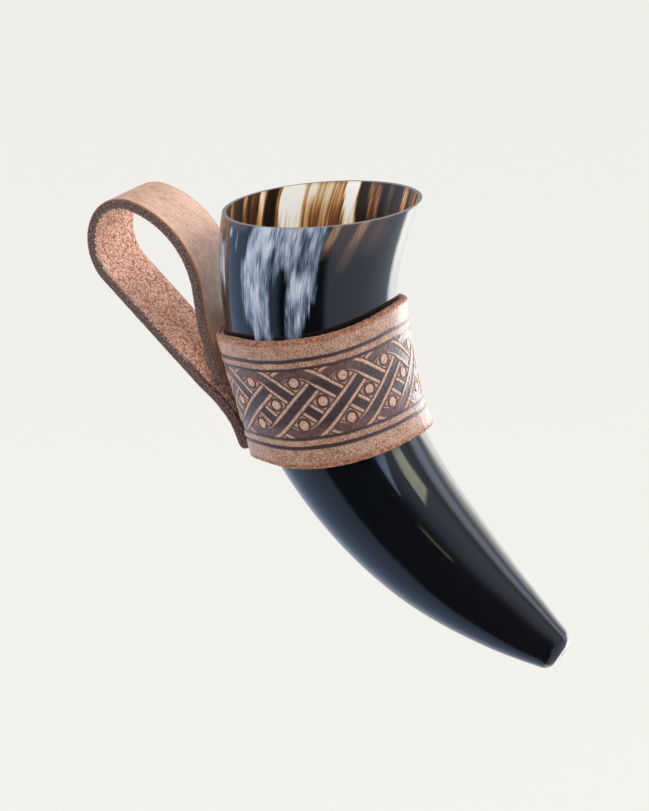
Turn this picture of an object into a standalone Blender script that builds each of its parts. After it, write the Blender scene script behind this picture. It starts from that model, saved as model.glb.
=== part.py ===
"""A drinking horn in a riveted leather belt holder.

The horn curves in the XZ plane, mouth up and tip towards +X. A tooled leather band grips it,
and a strap folded into a belt loop is riveted to the band on the horn's outer curve, at -X.
The origin is the highest point inside the loop, where a belt carries the weight.
"""

import math

import bmesh
import bpy
from mathutils import Vector
from mathutils.bvhtree import BVHTree

# Sizes are in millimetres and degrees, and meshes are written in metres
MM = 0.001

# Horn: length along the centre line, and outside diameters at places along it
HORN_LENGTH = 196.0
MOUTH_DIAMETER = 69.6
THROAT_DIAMETER = 64.6
SHOULDER_DIAMETER = 60.2
BELLY_DIAMETER = 52.8
SHANK_DIAMETER = 41.8
NECK_DIAMETER = 27.2
TIP_DIAMETER = 14.0
THROAT_FROM_MOUTH = 19.0
SHOULDER_FROM_MOUTH = 48.0
BELLY_FROM_MOUTH = 86.0
SHANK_FROM_TIP = 58.0
NECK_FROM_TIP = 23.0

# Horn: lean of the centre line from plumb at the mouth, a third and two thirds down, and the tip
LEAN_AT_MOUTH = -19.0
LEAN_AT_THIRD = 18.7
LEAN_AT_TWO_THIRDS = 48.0
LEAN_AT_TIP = 62.5
RIM_LEAN = 4.2
RIM_SQUARING = 40.0

# Horn: wall, hollow and edges
RIM_WALL = 1.4
BODY_WALL = 4.2
WALL_GROWTH = 90.0
HOLLOW_DEPTH = 136.0
HOLLOW_ROUNDING = 30.0
RIM_ROUNDING = 0.3
TIP_ROUNDING = 3.5

# Band: a straight strip closed by a scarfed lap under the strap
BAND_HEIGHT = 45.2
BAND_THICKNESS = 3.0
BAND_LEAN = 13.3
BAND_FROM_MOUTH = 42.0
BAND_EDGE_LIFT = 1.6
BAND_TAPER = 1.6
BAND_EDGE_BEVEL = 0.5
BORDER_WIDTH = 5.7
LINE_WIDTH = 1.7
LINE_DEPTH = 0.5
LINE_FLANK = 0.15
LAP_LENGTH = 26.0
LAP_PAST_RIVETS = 5.7
LAP_EDGE = 0.6
LAP_GAP = 0.3
HORN_SLACK = 0.5
SEAT_GAP = 0.35
SEAT_BLEND = 0.8

# Strap: one strip folded into the belt loop
STRAP_WIDTH = 27.5
STRAP_THICKNESS = 4.0
STRAP_GAP = 0.35
STRAP_BEVEL = 0.6
STRAP_CORNER = 3.0
LOOP_TUCK = 8.0
LOOP_TUCK_RADIUS = 25.0
LOOP_STRAIGHT = 11.4
LOOP_BACK_RADIUS = 34.0
LOOP_BACK_TURN = 70.0
LOOP_CROWN_RADIUS = 12.5
LOOP_CROWN_TURN = 78.0
LOOP_FRONT_RADIUS = 18.0
TAIL_BEND_RADIUS = 30.0
TAIL_FROM_BAND_EDGE = 0.8
TAIL_PAST_RIVET = 5.4
TAIL_FLAT_BEFORE_RIVET = 3.0
TAIL_CUP = 0.93
INNER_CUP = 0.3
CUP_EASE = 22.0
CUP_ABOVE_BAND = 7.3
SKIVE_LENGTH = 6.0
SKIVE_DEPTH = 1.2
PLY_GAP = 0.35

# Rivets: a headed stud through the leather, closed by a domed cap
RIVET_HEAD_DIAMETER = 8.0
RIVET_HEAD_HEIGHT = 0.65
RIVET_HEAD_FLAT = 4.8
RIVET_HEAD_CROWN = 0.08
RIVET_EDGE = 0.26
RIVET_POST_DIAMETER = 3.0
RIVET_CAP_DIAMETER = 8.0
RIVET_CAP_HEIGHT = 1.7
RIVET_CAP_EDGE = 0.5
RIVET_SOCKET_DEPTH = 1.1
RIVET_GAP = 0.3
RIVET_SINK = 1.0
CAP_CLEARANCE = 0.6
POST_CLEARANCE = 0.25
CUT_OVERSHOOT = 1.5

# Fineness of the round shapes
HORN_SIDES = 48
HORN_STEP = 6.4
HOLLOW_STEP = 8.0
HOLLOW_END_STEPS = 6
TIP_STEPS = 4
RIM_STEPS = 2
BAND_SIDES = 64
LAP_STATIONS = 8
FIELD_SPANS = 4
LINING_SPANS = 5
SEAT_STEP = 2.0
STRAP_STEP = 3.6
STRAP_SPANS = 8
CORNER_STEPS = 4
RIVET_SIDES = 24
DOME_STEPS = 5
SHARP_ANGLE = 38.0
PATH_STEPS = 600

# Bounds and rounds of the search for the strap's front, headings in degrees
STEEPEST_DIVE = 268.0
SHALLOWEST_DIVE = 184.0
SOLVER_ROUNDS = 60
TINY = 1e-9

ACROSS = Vector((0.0, 1.0, 0.0))


def plumb_axes(lean):
    """Unit vectors down along a line of this lean, and square to it towards the outer curve."""
    angle = math.radians(lean)
    down = Vector((math.sin(angle), 0.0, -math.cos(angle)))
    outward = Vector((-math.cos(angle), 0.0, -math.sin(angle)))
    return down, outward


def spline_through(stations):
    """A smooth function through (place, value) stations that never overshoots them."""
    places = [place for place, _ in stations]
    values = [value for _, value in stations]
    spans = list(zip(places, places[1:], values, values[1:]))
    rates = [(v1 - v0) / (p1 - p0) for p0, p1, v0, v1 in spans]
    slopes = [rates[0]]
    for before, after in zip(rates, rates[1:]):
        same_way = before * after > 0
        slopes.append(2 * before * after / (before + after) if same_way else 0.0)
    slopes.append(rates[-1])

    def value_at(place):
        i = max(k for k in range(len(spans)) if k == 0 or places[k] <= place)
        p0, p1, v0, v1 = spans[i]
        run = p1 - p0
        t = (place - p0) / run
        return (
            v0 * (1 + 2 * t) * (1 - t) ** 2
            + slopes[i] * run * t * (1 - t) ** 2
            + v1 * t * t * (3 - 2 * t)
            + slopes[i + 1] * run * t * t * (t - 1)
        )

    return value_at


def lean_at(along):
    """Lean of the horn's centre line: the cubic through its four stations."""
    x = 3.0 * along / HORN_LENGTH
    stations = (LEAN_AT_MOUTH, LEAN_AT_THIRD, LEAN_AT_TWO_THIRDS, LEAN_AT_TIP)
    total = 0.0
    for i, lean in enumerate(stations):
        share = 1.0
        for j in range(len(stations)):
            if j != i:
                share *= (x - j) / (i - j)
        total += lean * share
    return total


def centre_line():
    """Points of the horn's centre line, from the mouth's centre."""
    points = [Vector((0.0, 0.0, 0.0))]
    step = HORN_LENGTH / PATH_STEPS
    for i in range(PATH_STEPS):
        down, _ = plumb_axes(lean_at((i + 0.5) * step))
        points.append(points[-1] + down * step)
    return points


CENTRE_LINE = centre_line()
OUTSIDE = spline_through(
    (
        (0.0, MOUTH_DIAMETER),
        (THROAT_FROM_MOUTH, THROAT_DIAMETER),
        (SHOULDER_FROM_MOUTH, SHOULDER_DIAMETER),
        (BELLY_FROM_MOUTH, BELLY_DIAMETER),
        (HORN_LENGTH - SHANK_FROM_TIP, SHANK_DIAMETER),
        (HORN_LENGTH - NECK_FROM_TIP, NECK_DIAMETER),
        (HORN_LENGTH, TIP_DIAMETER),
    )
)


def centre_at(along):
    """The point this far down the horn's centre line."""
    x = along / HORN_LENGTH * PATH_STEPS
    i = min(int(x), PATH_STEPS - 1)
    return CENTRE_LINE[i].lerp(CENTRE_LINE[i + 1], x - i)


def horn_radius(along):
    return OUTSIDE(along) / 2


def hollow_radius(along):
    """Radius of the horn's hollow: the wall thickens downwards and the end is round."""
    growth = min(along / WALL_GROWTH, 1.0)
    wall = RIM_WALL + (BODY_WALL - RIM_WALL) * growth
    past = max(along - (HOLLOW_DEPTH - HOLLOW_ROUNDING), 0.0) / HOLLOW_ROUNDING
    return (horn_radius(along) - wall) * math.sqrt(max(1.0 - past * past, 0.0))


def horn_ring(along, radius):
    """A ring round the centre line. Near the mouth it turns from square to level with the rim."""
    near_mouth = max(1.0 - along / RIM_SQUARING, 0.0) ** 2
    lean = lean_at(along) + (RIM_LEAN - LEAN_AT_MOUTH) * near_mouth
    _, outward = plumb_axes(lean)
    centre = centre_at(along)
    turns = (2 * math.pi * k / HORN_SIDES for k in range(HORN_SIDES))
    return [centre + (outward * math.cos(a) + ACROSS * math.sin(a)) * radius for a in turns]


def quarter_turns(steps):
    return [math.pi / 2 * k / steps for k in range(steps + 1)]


def spread(start, end, step):
    """Places from start to end, evenly spaced by about this step."""
    count = max(round(abs(end - start) / step), 1)
    return [start + (end - start) * k / count for k in range(count + 1)]


def horn_rings():
    """Rings from the tip's flat, up the outside, over the rim and down the hollow."""
    rings = []
    for a in quarter_turns(TIP_STEPS):
        along = HORN_LENGTH - TIP_ROUNDING * (1 - math.cos(a))
        rings.append(horn_ring(along, horn_radius(along) - TIP_ROUNDING * (1 - math.sin(a))))
    outside = spread(HORN_LENGTH - TIP_ROUNDING, RIM_ROUNDING, HORN_STEP)
    rings += [horn_ring(along, horn_radius(along)) for along in outside[1:]]
    for a in quarter_turns(RIM_STEPS)[1:]:
        along = RIM_ROUNDING * (1 - math.sin(a))
        rings.append(horn_ring(along, horn_radius(0) - RIM_ROUNDING * (1 - math.cos(a))))
    for a in quarter_turns(RIM_STEPS):
        along = RIM_ROUNDING * (1 - math.cos(a))
        rings.append(horn_ring(along, hollow_radius(0) + RIM_ROUNDING * (1 - math.sin(a))))
    straight_end = HOLLOW_DEPTH - HOLLOW_ROUNDING
    inside = spread(RIM_ROUNDING, straight_end, HOLLOW_STEP)[1:]
    rings += [horn_ring(along, hollow_radius(along)) for along in inside]
    for a in quarter_turns(HOLLOW_END_STEPS)[1:-1]:
        along = straight_end + HOLLOW_ROUNDING * math.sin(a)
        rings.append(horn_ring(along, hollow_radius(along)))
    return rings


def skin(rings):
    """A closed mesh over rings of equal count, with a face across each end."""
    mesh = bmesh.new()
    rows = [[mesh.verts.new(point) for point in ring] for ring in rings]
    for row, following in zip(rows, rows[1:]):
        count = len(row)
        for k in range(count):
            m = (k + 1) % count
            mesh.faces.new((row[k], row[m], following[m], following[k]))
    mesh.faces.new(rows[0])
    mesh.faces.new(rows[-1])
    bmesh.ops.recalc_face_normals(mesh, faces=mesh.faces)
    return mesh


def make_material(name, colour, roughness, metallic=0.0):
    material = bpy.data.materials.new(name)
    material.use_nodes = True
    shader = material.node_tree.nodes["Principled BSDF"]
    shader.inputs["Base Color"].default_value = (*colour, 1.0)
    shader.inputs["Roughness"].default_value = roughness
    shader.inputs["Metallic"].default_value = metallic
    return material


def add_object(name, mesh, material=None, origin=Vector((0.0, 0.0, 0.0))):
    """An object of this mesh, whose points are millimetres from the belt's bearing point."""
    bmesh.ops.translate(mesh, verts=mesh.verts, vec=-origin)
    bmesh.ops.scale(mesh, verts=mesh.verts, vec=(MM, MM, MM))
    data = bpy.data.meshes.new(name)
    mesh.to_mesh(data)
    mesh.free()
    data.shade_smooth()
    data.set_sharp_from_angle(angle=math.radians(SHARP_ANGLE))
    if material:
        data.materials.append(material)
    item = bpy.data.objects.new(name, data)
    item.location = origin * MM
    bpy.context.scene.collection.objects.link(item)
    return item


class Band:
    """Where the leather band lies: an upright cone round the horn that gives way to it.

    Its edges lift towards the strap and sink on the far side. A drop is measured from the top edge.
    """

    def __init__(self, horn_surface):
        self.down, self.outward = plumb_axes(BAND_LEAN)
        self.top = centre_at(BAND_FROM_MOUTH)
        self.top_radius = horn_radius(BAND_FROM_MOUTH) + HORN_SLACK
        self.horn_surface = horn_surface

    def direction(self, turn):
        return self.outward * math.cos(turn) + ACROSS * math.sin(turn)

    def axis_point(self, turn, drop):
        """The point of the axis level with the leather at this turn and drop."""
        return self.top + self.down * (drop - BAND_EDGE_LIFT * math.cos(turn))

    def inner_radius(self, turn, drop):
        """Distance from the axis to the leather's inner face, kept clear of the horn."""
        cone = self.top_radius - BAND_TAPER * drop / BAND_HEIGHT
        way = self.direction(turn)
        axis_point = self.axis_point(turn, drop)
        reach = MOUTH_DIAMETER
        hit = self.horn_surface.ray_cast(axis_point + way * reach, -way, reach)[0]
        if hit is None:
            return cone
        horn = (hit - axis_point).dot(way) + SEAT_GAP
        return (cone + horn + math.hypot(cone - horn, SEAT_BLEND)) / 2

    def outer_radius(self, turn, drop):
        return self.inner_radius(turn, drop) + BAND_THICKNESS

    def point(self, turn, drop, radius):
        return self.axis_point(turn, drop) + self.direction(turn) * radius


def band_profile():
    """(drop, height above the inner face as a share, line depth) round the band's section."""
    bevel = BAND_EDGE_BEVEL
    first = BORDER_WIDTH
    last = BAND_HEIGHT - BORDER_WIDTH - LINE_WIDTH
    outside = [(bevel, 1.0, 0.0)]
    for start in (first, last):
        outside.append((start, 1.0, 0.0))
        outside.append((start + LINE_FLANK, 1.0, LINE_DEPTH))
        outside.append((start + LINE_WIDTH - LINE_FLANK, 1.0, LINE_DEPTH))
        outside.append((start + LINE_WIDTH, 1.0, 0.0))
        if start == first:
            field = spread(first + LINE_WIDTH, last, (last - first - LINE_WIDTH) / FIELD_SPANS)
            outside += [(drop, 1.0, 0.0) for drop in field[1:-1]]
    outside.append((BAND_HEIGHT - bevel, 1.0, 0.0))
    inside = spread(BAND_HEIGHT - bevel, bevel, (BAND_HEIGHT - 2 * bevel) / LINING_SPANS)
    bevel_share = bevel / BAND_THICKNESS
    section = [(0.0, 1 - bevel_share, 0.0)] + outside
    section += [(BAND_HEIGHT, 1 - bevel_share, 0.0), (BAND_HEIGHT, bevel_share, 0.0)]
    section += [(drop, 0.0, 0.0) for drop in inside]
    section.append((0.0, bevel_share, 0.0))
    return section


def lap_share(turn, lap_start, lap_turn):
    return (turn - lap_start) / lap_turn


def band_stations(lap_start, lap_turn, radius):
    """(turn, inner offset, outer offset) from the lap's inner end round to its outer end."""
    full = BAND_THICKNESS
    ramp = full - 2 * LAP_EDGE - LAP_GAP
    nudge = LAP_GAP / radius
    lap_end = lap_start + lap_turn
    around = 2 * math.pi

    def under(turn):
        return LAP_EDGE + ramp * lap_share(turn, lap_start, lap_turn)

    lap_turns = spread(lap_start, lap_end, lap_turn / LAP_STATIONS)
    stations = [(turn, 0.0, under(turn)) for turn in lap_turns]
    open_turns = spread(lap_end + nudge, around + lap_start - 2 * nudge, around / BAND_SIDES)
    stations += [(turn, 0.0, full) for turn in open_turns]
    stations += [(around + lap_start - nudge, under(lap_start) + LAP_GAP, full)]
    stations += [(around + turn, under(turn) + LAP_GAP, full) for turn in lap_turns]
    return stations


def band_rings(band):
    radius = band.top_radius
    lap_turn = LAP_LENGTH / radius
    lap_start = (LAP_PAST_RIVETS - LAP_LENGTH) / radius
    section = band_profile()
    rings = []
    for turn, low, high in band_stations(lap_start, lap_turn, radius):
        thickness = high - low
        line_share = min(thickness / BAND_THICKNESS, 1.0) if high == BAND_THICKNESS else 0.0
        ring = []
        for drop, share, depth in section:
            height = low + thickness * share - depth * line_share
            ring.append(band.point(turn, drop, band.inner_radius(turn, drop) + height))
        rings.append(ring)
    return rings


class StrapSeat:
    """The straight line down the band's back that the strap lies on."""

    def __init__(self, band):
        top = band.point(0.0, 0.0, band.outer_radius(0.0, 0.0))
        bottom = band.point(0.0, BAND_HEIGHT, band.outer_radius(0.0, BAND_HEIGHT))
        self.band = band
        self.origin = top
        self.down = (bottom - top).normalized()
        self.out = Vector((self.down.z, 0.0, -self.down.x))
        self.length = (bottom - top).length
        drops = spread(0.0, BAND_HEIGHT, SEAT_STEP)
        faces = [band.point(0.0, d, band.outer_radius(0.0, d)) for d in drops]
        self.bulge = max((face - top).dot(self.out) for face in faces)
        self.radius = band.outer_radius(0.0, BAND_HEIGHT / 2)

    def point(self, drop, height):
        return self.origin + self.down * drop + self.out * height

    def lining(self, drop):
        """Height of the band's inner face at this drop, which is below the seat line."""
        top = self.band.axis_point(0.0, 0.0)
        band_drop = (self.point(drop, 0.0) - top).dot(self.band.down)
        face = self.band.point(0.0, band_drop, self.band.inner_radius(0.0, band_drop))
        return (face - self.origin).dot(self.out)


class StrapPath:
    """The strap's middle line in (drop, height) beside the band, and where the rivets go.

    Its heading is 0 up the band, 90 away from it, and 180 down again.
    """

    def __init__(self, seat):
        self.seat_height = seat.bulge + STRAP_GAP
        self.middle = self.seat_height + STRAP_THICKNESS / 2
        self.tail_end = seat.length - TAIL_FROM_BAND_EDGE
        self.lower_rivet = self.tail_end - TAIL_PAST_RIVET
        self.landing = self.lower_rivet - TAIL_FLAT_BEFORE_RIVET
        self.dive = self.solve_dive()
        self.meeting = self.find_meeting()
        ramp = math.tan(math.radians(self.dive - 180))
        room = RIVET_GAP + RIVET_CAP_HEIGHT + CAP_CLEARANCE
        self.upper_rivet = self.meeting - RIVET_CAP_DIAMETER / 2 - room / ramp

    def back_stretches(self):
        """(length, turn) from the band's top edge, tucked in over the horn, to the crown's start."""
        return (
            (arc_length(LOOP_TUCK_RADIUS, LOOP_TUCK), -LOOP_TUCK),
            (LOOP_STRAIGHT, 0.0),
            (arc_length(LOOP_BACK_RADIUS, LOOP_BACK_TURN), LOOP_BACK_TURN),
        )

    def crown_start(self):
        drop, height, heading = 0.0, self.middle, 0.0
        for length, turn in self.back_stretches():
            drop, height, heading = stretch_end(drop, height, heading, length, turn)
        return drop, height, heading

    def dive_line(self, dive):
        """Start and end of the straight front, which dives to the band at this heading."""
        crown_end = arc_end(*self.crown_start(), LOOP_CROWN_RADIUS, LOOP_CROWN_TURN)
        start = arc_end(*crown_end, LOOP_FRONT_RADIUS, dive - crown_end[2])
        angle = math.radians(dive)
        end_height = self.middle + TAIL_BEND_RADIUS * (1 + math.cos(angle))
        length = (end_height - start[1]) / math.sin(angle)
        return start, (start[0] - length * math.cos(angle), end_height), length

    def solve_dive(self):
        """Heading of the straight front that lets the tail land where it should."""
        steep = STEEPEST_DIVE
        shallow = SHALLOWEST_DIVE
        for _ in range(SOLVER_ROUNDS):
            dive = (steep + shallow) / 2
            _, end, _ = self.dive_line(dive)
            landed = end[0] - TAIL_BEND_RADIUS * math.sin(math.radians(dive))
            if landed > self.landing:
                shallow = dive
            else:
                steep = dive
        return dive

    def find_meeting(self):
        """Drop at which the front's inner face comes down to the inner tail."""
        angle = math.radians(self.dive)
        _, end, _ = self.dive_line(self.dive)
        face = end[1] - STRAP_THICKNESS / 2 / -math.cos(angle)
        wanted = self.seat_height + STRAP_THICKNESS + PLY_GAP
        return end[0] - max(wanted - face, 0.0) / math.tan(angle)

    def segments(self):
        """(length, turn in degrees) of each stretch, from the inner tail to the outer one."""
        _, _, front = self.dive_line(self.dive)
        front_turn = self.dive - self.crown_start()[2] - LOOP_CROWN_TURN
        return (
            (self.meeting, 0.0),
            *self.back_stretches(),
            (arc_length(LOOP_CROWN_RADIUS, LOOP_CROWN_TURN), LOOP_CROWN_TURN),
            (arc_length(LOOP_FRONT_RADIUS, front_turn), front_turn),
            (front, 0.0),
            (arc_length(TAIL_BEND_RADIUS, self.dive - 180), 180 - self.dive),
            (self.tail_end - self.landing, 0.0),
        )

    def length(self):
        return sum(length for length, _ in self.segments())

    def at(self, along):
        """(drop, height, heading) this far along the strap from its inner end."""
        drop, height, heading = self.meeting, self.middle, 0.0
        for length, turn in self.segments():
            run = min(along, length)
            drop, height, heading = stretch_end(drop, height, heading, run, turn * run / length)
            along -= run
            if along <= 0:
                break
        return drop, height, heading

    def crown(self, lean):
        """Highest point of the loop's inner face, for a band line of this lean."""
        start = self.crown_start()
        drop, height, heading = arc_end(*start, LOOP_CROWN_RADIUS, 90 - lean - start[2])
        angle = math.radians(heading)
        half = STRAP_THICKNESS / 2
        return drop + half * math.sin(angle), height + half * math.cos(angle)


def arc_length(radius, turn):
    return radius * math.radians(turn)


def arc_end(drop, height, heading, radius, turn):
    return stretch_end(drop, height, heading, arc_length(radius, abs(turn)), turn)


def stretch_end(drop, height, heading, length, turn):
    """End of a straight or evenly bent stretch."""
    half = math.radians(turn) / 2
    chord = length * (math.sin(half) / half if abs(half) > TINY else 1.0)
    middle = math.radians(heading) + half
    return drop - chord * math.cos(middle), height + chord * math.sin(middle), heading + turn


def smooth_step(x):
    x = min(max(x, 0.0), 1.0)
    return x * x * (3 - 2 * x)


def strap_section(half_width):
    """(sideways, side) round the strap's section: side 1 is the face outside the loop."""
    bevel = STRAP_BEVEL
    flank = 1 - 2 * bevel / STRAP_THICKNESS
    across = spread(-half_width + bevel, half_width - bevel, (half_width - bevel) * 2 / STRAP_SPANS)
    section = [(y, 1.0) for y in across]
    section += [(half_width, flank), (half_width, -flank)]
    section += [(y, -1.0) for y in reversed(across)]
    section += [(-half_width, -flank), (-half_width, flank)]
    return section


def strap_places(path):
    """Places along the strap, closer together at its round-cornered ends."""
    length = path.length()
    ends = [STRAP_CORNER * (1 - math.cos(a)) for a in quarter_turns(CORNER_STEPS)]
    middle = spread(STRAP_CORNER, length - STRAP_CORNER, STRAP_STEP)
    return ends[:-1] + middle + [length - place for place in reversed(ends[:-1])]


def strap_rings(path, seat):
    length = path.length()
    landing = length - (path.tail_end - path.landing)
    rings = []
    for along in strap_places(path):
        drop, height, heading = path.at(along)
        angle = math.radians(heading)
        outside = seat.down * -math.sin(angle) - seat.out * math.cos(angle)
        from_end = min(along, length - along)
        cut = max(STRAP_CORNER - from_end, 0.0)
        inset = STRAP_CORNER - math.sqrt(max(STRAP_CORNER**2 - cut**2, 0.0))
        half_width = STRAP_WIDTH / 2 - inset
        inner_ease = smooth_step((path.meeting + CUP_ABOVE_BAND - along) / CUP_EASE)
        outer_ease = smooth_step((along - landing) / CUP_EASE + 1)
        cup = (INNER_CUP * inner_ease - TAIL_CUP * outer_ease) / (seat.radius + height)
        skive = SKIVE_DEPTH * max(1 - along / SKIVE_LENGTH, 0.0)
        centre = seat.point(drop, height)
        ring = []
        for sideways, side in strap_section(half_width):
            bend = sideways * cup
            lift = side * STRAP_THICKNESS / 2
            if side < 0:
                lift += skive
            if abs(cup) > TINY:
                shift = math.sin(bend) / cup
                rise = (1 - math.cos(bend)) / cup
            else:
                shift, rise = sideways, 0.0
            normal = outside * math.cos(bend) - ACROSS * math.sin(bend)
            ring.append(centre + ACROSS * shift + outside * rise + normal * lift)
        rings.append(ring)
    return rings


def turned(profile, base, axis):
    """A turned solid from (radius, height) points, standing on base along axis."""
    side = ACROSS
    other = axis.cross(side)
    rings = []
    for radius, height in profile:
        turns = (2 * math.pi * k / RIVET_SIDES for k in range(RIVET_SIDES))
        ring = [base + axis * height + (side * math.cos(a) + other * math.sin(a)) * radius for a in turns]
        rings.append(ring)
    return skin(rings)


def stud_profile(stack):
    """A low head inside the band, and a post up through the leather into the cap."""
    head = RIVET_HEAD_DIAMETER / 2
    post = RIVET_POST_DIAMETER / 2
    edge = RIVET_EDGE
    end = stack + RIVET_SOCKET_DEPTH
    return (
        (RIVET_HEAD_FLAT / 2, 0.0),
        (head - edge, RIVET_HEAD_CROWN),
        (head, RIVET_HEAD_HEIGHT - edge),
        (head, RIVET_HEAD_HEIGHT),
        (post, RIVET_HEAD_HEIGHT),
        (post, end - edge),
        (post - edge, end),
    )


def cap_profile():
    """A domed cap with a socket for the post, from the socket's floor round to the crown."""
    outer = RIVET_CAP_DIAMETER / 2
    socket = RIVET_POST_DIAMETER / 2 + POST_CLEARANCE
    floor = RIVET_SOCKET_DEPTH - RIVET_GAP + POST_CLEARANCE
    dome = RIVET_CAP_HEIGHT - RIVET_CAP_EDGE
    points = [(socket, floor), (socket, 0.0), (outer, 0.0)]
    for a in quarter_turns(DOME_STEPS)[:-1]:
        points.append((outer * math.cos(a), RIVET_CAP_EDGE + dome * math.sin(a)))
    return points


def make_cutter(name, radius, base, axis, start, end, target):
    """Cuts a round hole through target, from start to end along axis."""
    cutter = add_object(name, turned(((radius, start), (radius, end)), base, axis))
    cutter.hide_render = True
    cutter.display_type = "WIRE"
    cut = target.modifiers.new(name, "BOOLEAN")
    cut.operation = "DIFFERENCE"
    cut.object = cutter


def add_rivet(name, drop, path, seat, origin, band_object, strap_object, brass):
    """Stud, cap and their holes at this drop down the band."""
    base = seat.point(drop, 0.0) - origin
    axis = seat.out
    inner_face = seat.lining(drop)
    floor = inner_face + RIVET_SINK
    head_top = floor - RIVET_GAP
    head_base = head_top - RIVET_HEAD_HEIGHT
    strap_face = path.seat_height + STRAP_THICKNESS
    stack = strap_face - head_base
    hole = RIVET_POST_DIAMETER / 2 + POST_CLEARANCE
    sink = RIVET_HEAD_DIAMETER / 2 + POST_CLEARANCE
    beyond = CUT_OVERSHOOT
    add_object(name + "_stud", turned(stud_profile(stack), base + axis * head_base, axis), brass)
    add_object(name + "_cap", turned(cap_profile(), base + axis * (strap_face + RIVET_GAP), axis), brass)
    through = (inner_face - beyond, path.seat_height + beyond)
    make_cutter(name + "_band_hole", hole, base, axis, *through, band_object)
    make_cutter(name + "_head_seat", sink, base, axis, inner_face - beyond, floor, band_object)
    ply = (path.seat_height - beyond, strap_face + beyond)
    make_cutter(name + "_strap_hole", hole, base, axis, *ply, strap_object)


def lift_axis():
    """Centre of the horn's curve at the band, about which it draws out of the holder."""
    along = BAND_FROM_MOUTH + BAND_HEIGHT / 2 * math.cos(math.radians(BAND_LEAN))
    step = HORN_LENGTH / PATH_STEPS
    bend = math.radians(lean_at(along + step) - lean_at(along - step)) / (2 * step)
    _, outward = plumb_axes(lean_at(along))
    return centre_at(along) - outward / bend


def moved(rings, offset):
    return [[point + offset for point in ring] for ring in rings]


def main():
    for item in list(bpy.data.objects):
        bpy.data.objects.remove(item, do_unlink=True)

    horn_material = make_material("dark_horn", (0.025, 0.024, 0.026), 0.16)
    band_material = make_material("tooled_leather", (0.45, 0.26, 0.16), 0.62)
    strap_material = make_material("strap_leather", (0.56, 0.33, 0.22), 0.6)
    brass = make_material("antique_brass", (0.42, 0.30, 0.15), 0.38, 1.0)

    rings = horn_rings()
    surface_mesh = skin(rings)
    band = Band(BVHTree.FromBMesh(surface_mesh))
    surface_mesh.free()
    seat = StrapSeat(band)
    path = StrapPath(seat)
    seat_lean = math.degrees(math.atan2(seat.down.x, -seat.down.z))
    origin = seat.point(*path.crown(seat_lean))

    add_object("horn", skin(moved(rings, -origin)), horn_material, lift_axis() - origin)
    band_object = add_object("holder_band", skin(moved(band_rings(band), -origin)), band_material)
    strap = skin(moved(strap_rings(path, seat), -origin))
    strap_object = add_object("belt_loop_strap", strap, strap_material)
    for name, drop in (("upper_rivet", path.upper_rivet), ("lower_rivet", path.lower_rivet)):
        add_rivet(name, drop, path, seat, origin, band_object, strap_object, brass)


main()
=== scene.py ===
"""Looks of the drinking horn: streaked polished horn, tooled band, suede-lined strap and brass rivets."""

import math

import bpy
import numpy as np
from mathutils import Matrix, Vector
from mathutils.bvhtree import BVHTree


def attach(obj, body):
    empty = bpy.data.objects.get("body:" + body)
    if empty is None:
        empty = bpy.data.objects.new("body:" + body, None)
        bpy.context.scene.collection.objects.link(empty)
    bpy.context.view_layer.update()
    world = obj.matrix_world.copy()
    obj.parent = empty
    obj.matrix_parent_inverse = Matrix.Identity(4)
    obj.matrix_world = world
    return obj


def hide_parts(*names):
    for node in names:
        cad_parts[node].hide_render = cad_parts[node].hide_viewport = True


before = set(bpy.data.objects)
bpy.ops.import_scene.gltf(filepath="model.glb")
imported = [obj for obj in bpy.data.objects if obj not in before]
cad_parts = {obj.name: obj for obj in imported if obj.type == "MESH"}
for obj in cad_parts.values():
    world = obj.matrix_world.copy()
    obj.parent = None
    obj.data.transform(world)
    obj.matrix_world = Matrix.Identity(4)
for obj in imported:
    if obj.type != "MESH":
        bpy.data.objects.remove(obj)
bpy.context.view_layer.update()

# Sizes are in millimetres and degrees, as in the CAD, and meshes are written in metres. A turn is counted
# round the horn from the strap's side: 90 is the far side, 180 the front and 270 the near side.
MM = 0.001
ACROSS = np.array((0, 1, 0))
TINY = 1e-9

# Horn: the CAD's centre line, outside diameters, wall and hollow
MOUTH_CENTRE = (72.2902, 0, 6.7567)
HORN_LENGTH = 196.0
HORN_DIAMETERS = (
    (0, 69.6), (19, 64.6), (48, 60.2), (86, 52.8), (138, 41.8), (173, 27.2), (196, 14)
)
HORN_LEANS = (-19, 18.7, 48, 62.5)
RIM_LEAN = 4.2
RIM_SQUARING = 40.0
RIM_WALL = 1.4
BODY_WALL = 4.2
WALL_GROWTH = 90.0
HOLLOW_DEPTH = 136.0
HOLLOW_ROUNDING = 30.0
RIM_ROUNDING = 0.35
TIP_ROUNDING = 3.5

# Horn's mesh: its rings, the points round each, and the radius of the smallest at each end
HORN_SIDES = 240
HORN_STEP = 1.3
CENTRE_LINE_STEPS = 600
ROUNDING_RINGS = 7
TIP_FLAT_RINGS = 8
HOLLOW_END_RINGS = 22
TIP_MIDDLE = 0.15
HOLLOW_MIDDLE = 0.2

# Horn's uneven polish and chipped tip. Here and below, a pair is where a change begins, or where a fall
# ends, and how long it takes.
HORN_UNEVENNESS = 0.12
WAVE_LENGTH = 34.0
RIPPLE_LENGTH = 60.0
EVEN_RIM = (1, 8)
EVEN_RADIUS = 4.0
TIP_FACE = (HORN_LENGTH - 2.5, 2)
CHIP_DEPTH = 0.3
CHIP_EDGE = (3.4, 1)
CHIP_PALE_EDGE = (4.2, 1)

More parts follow.
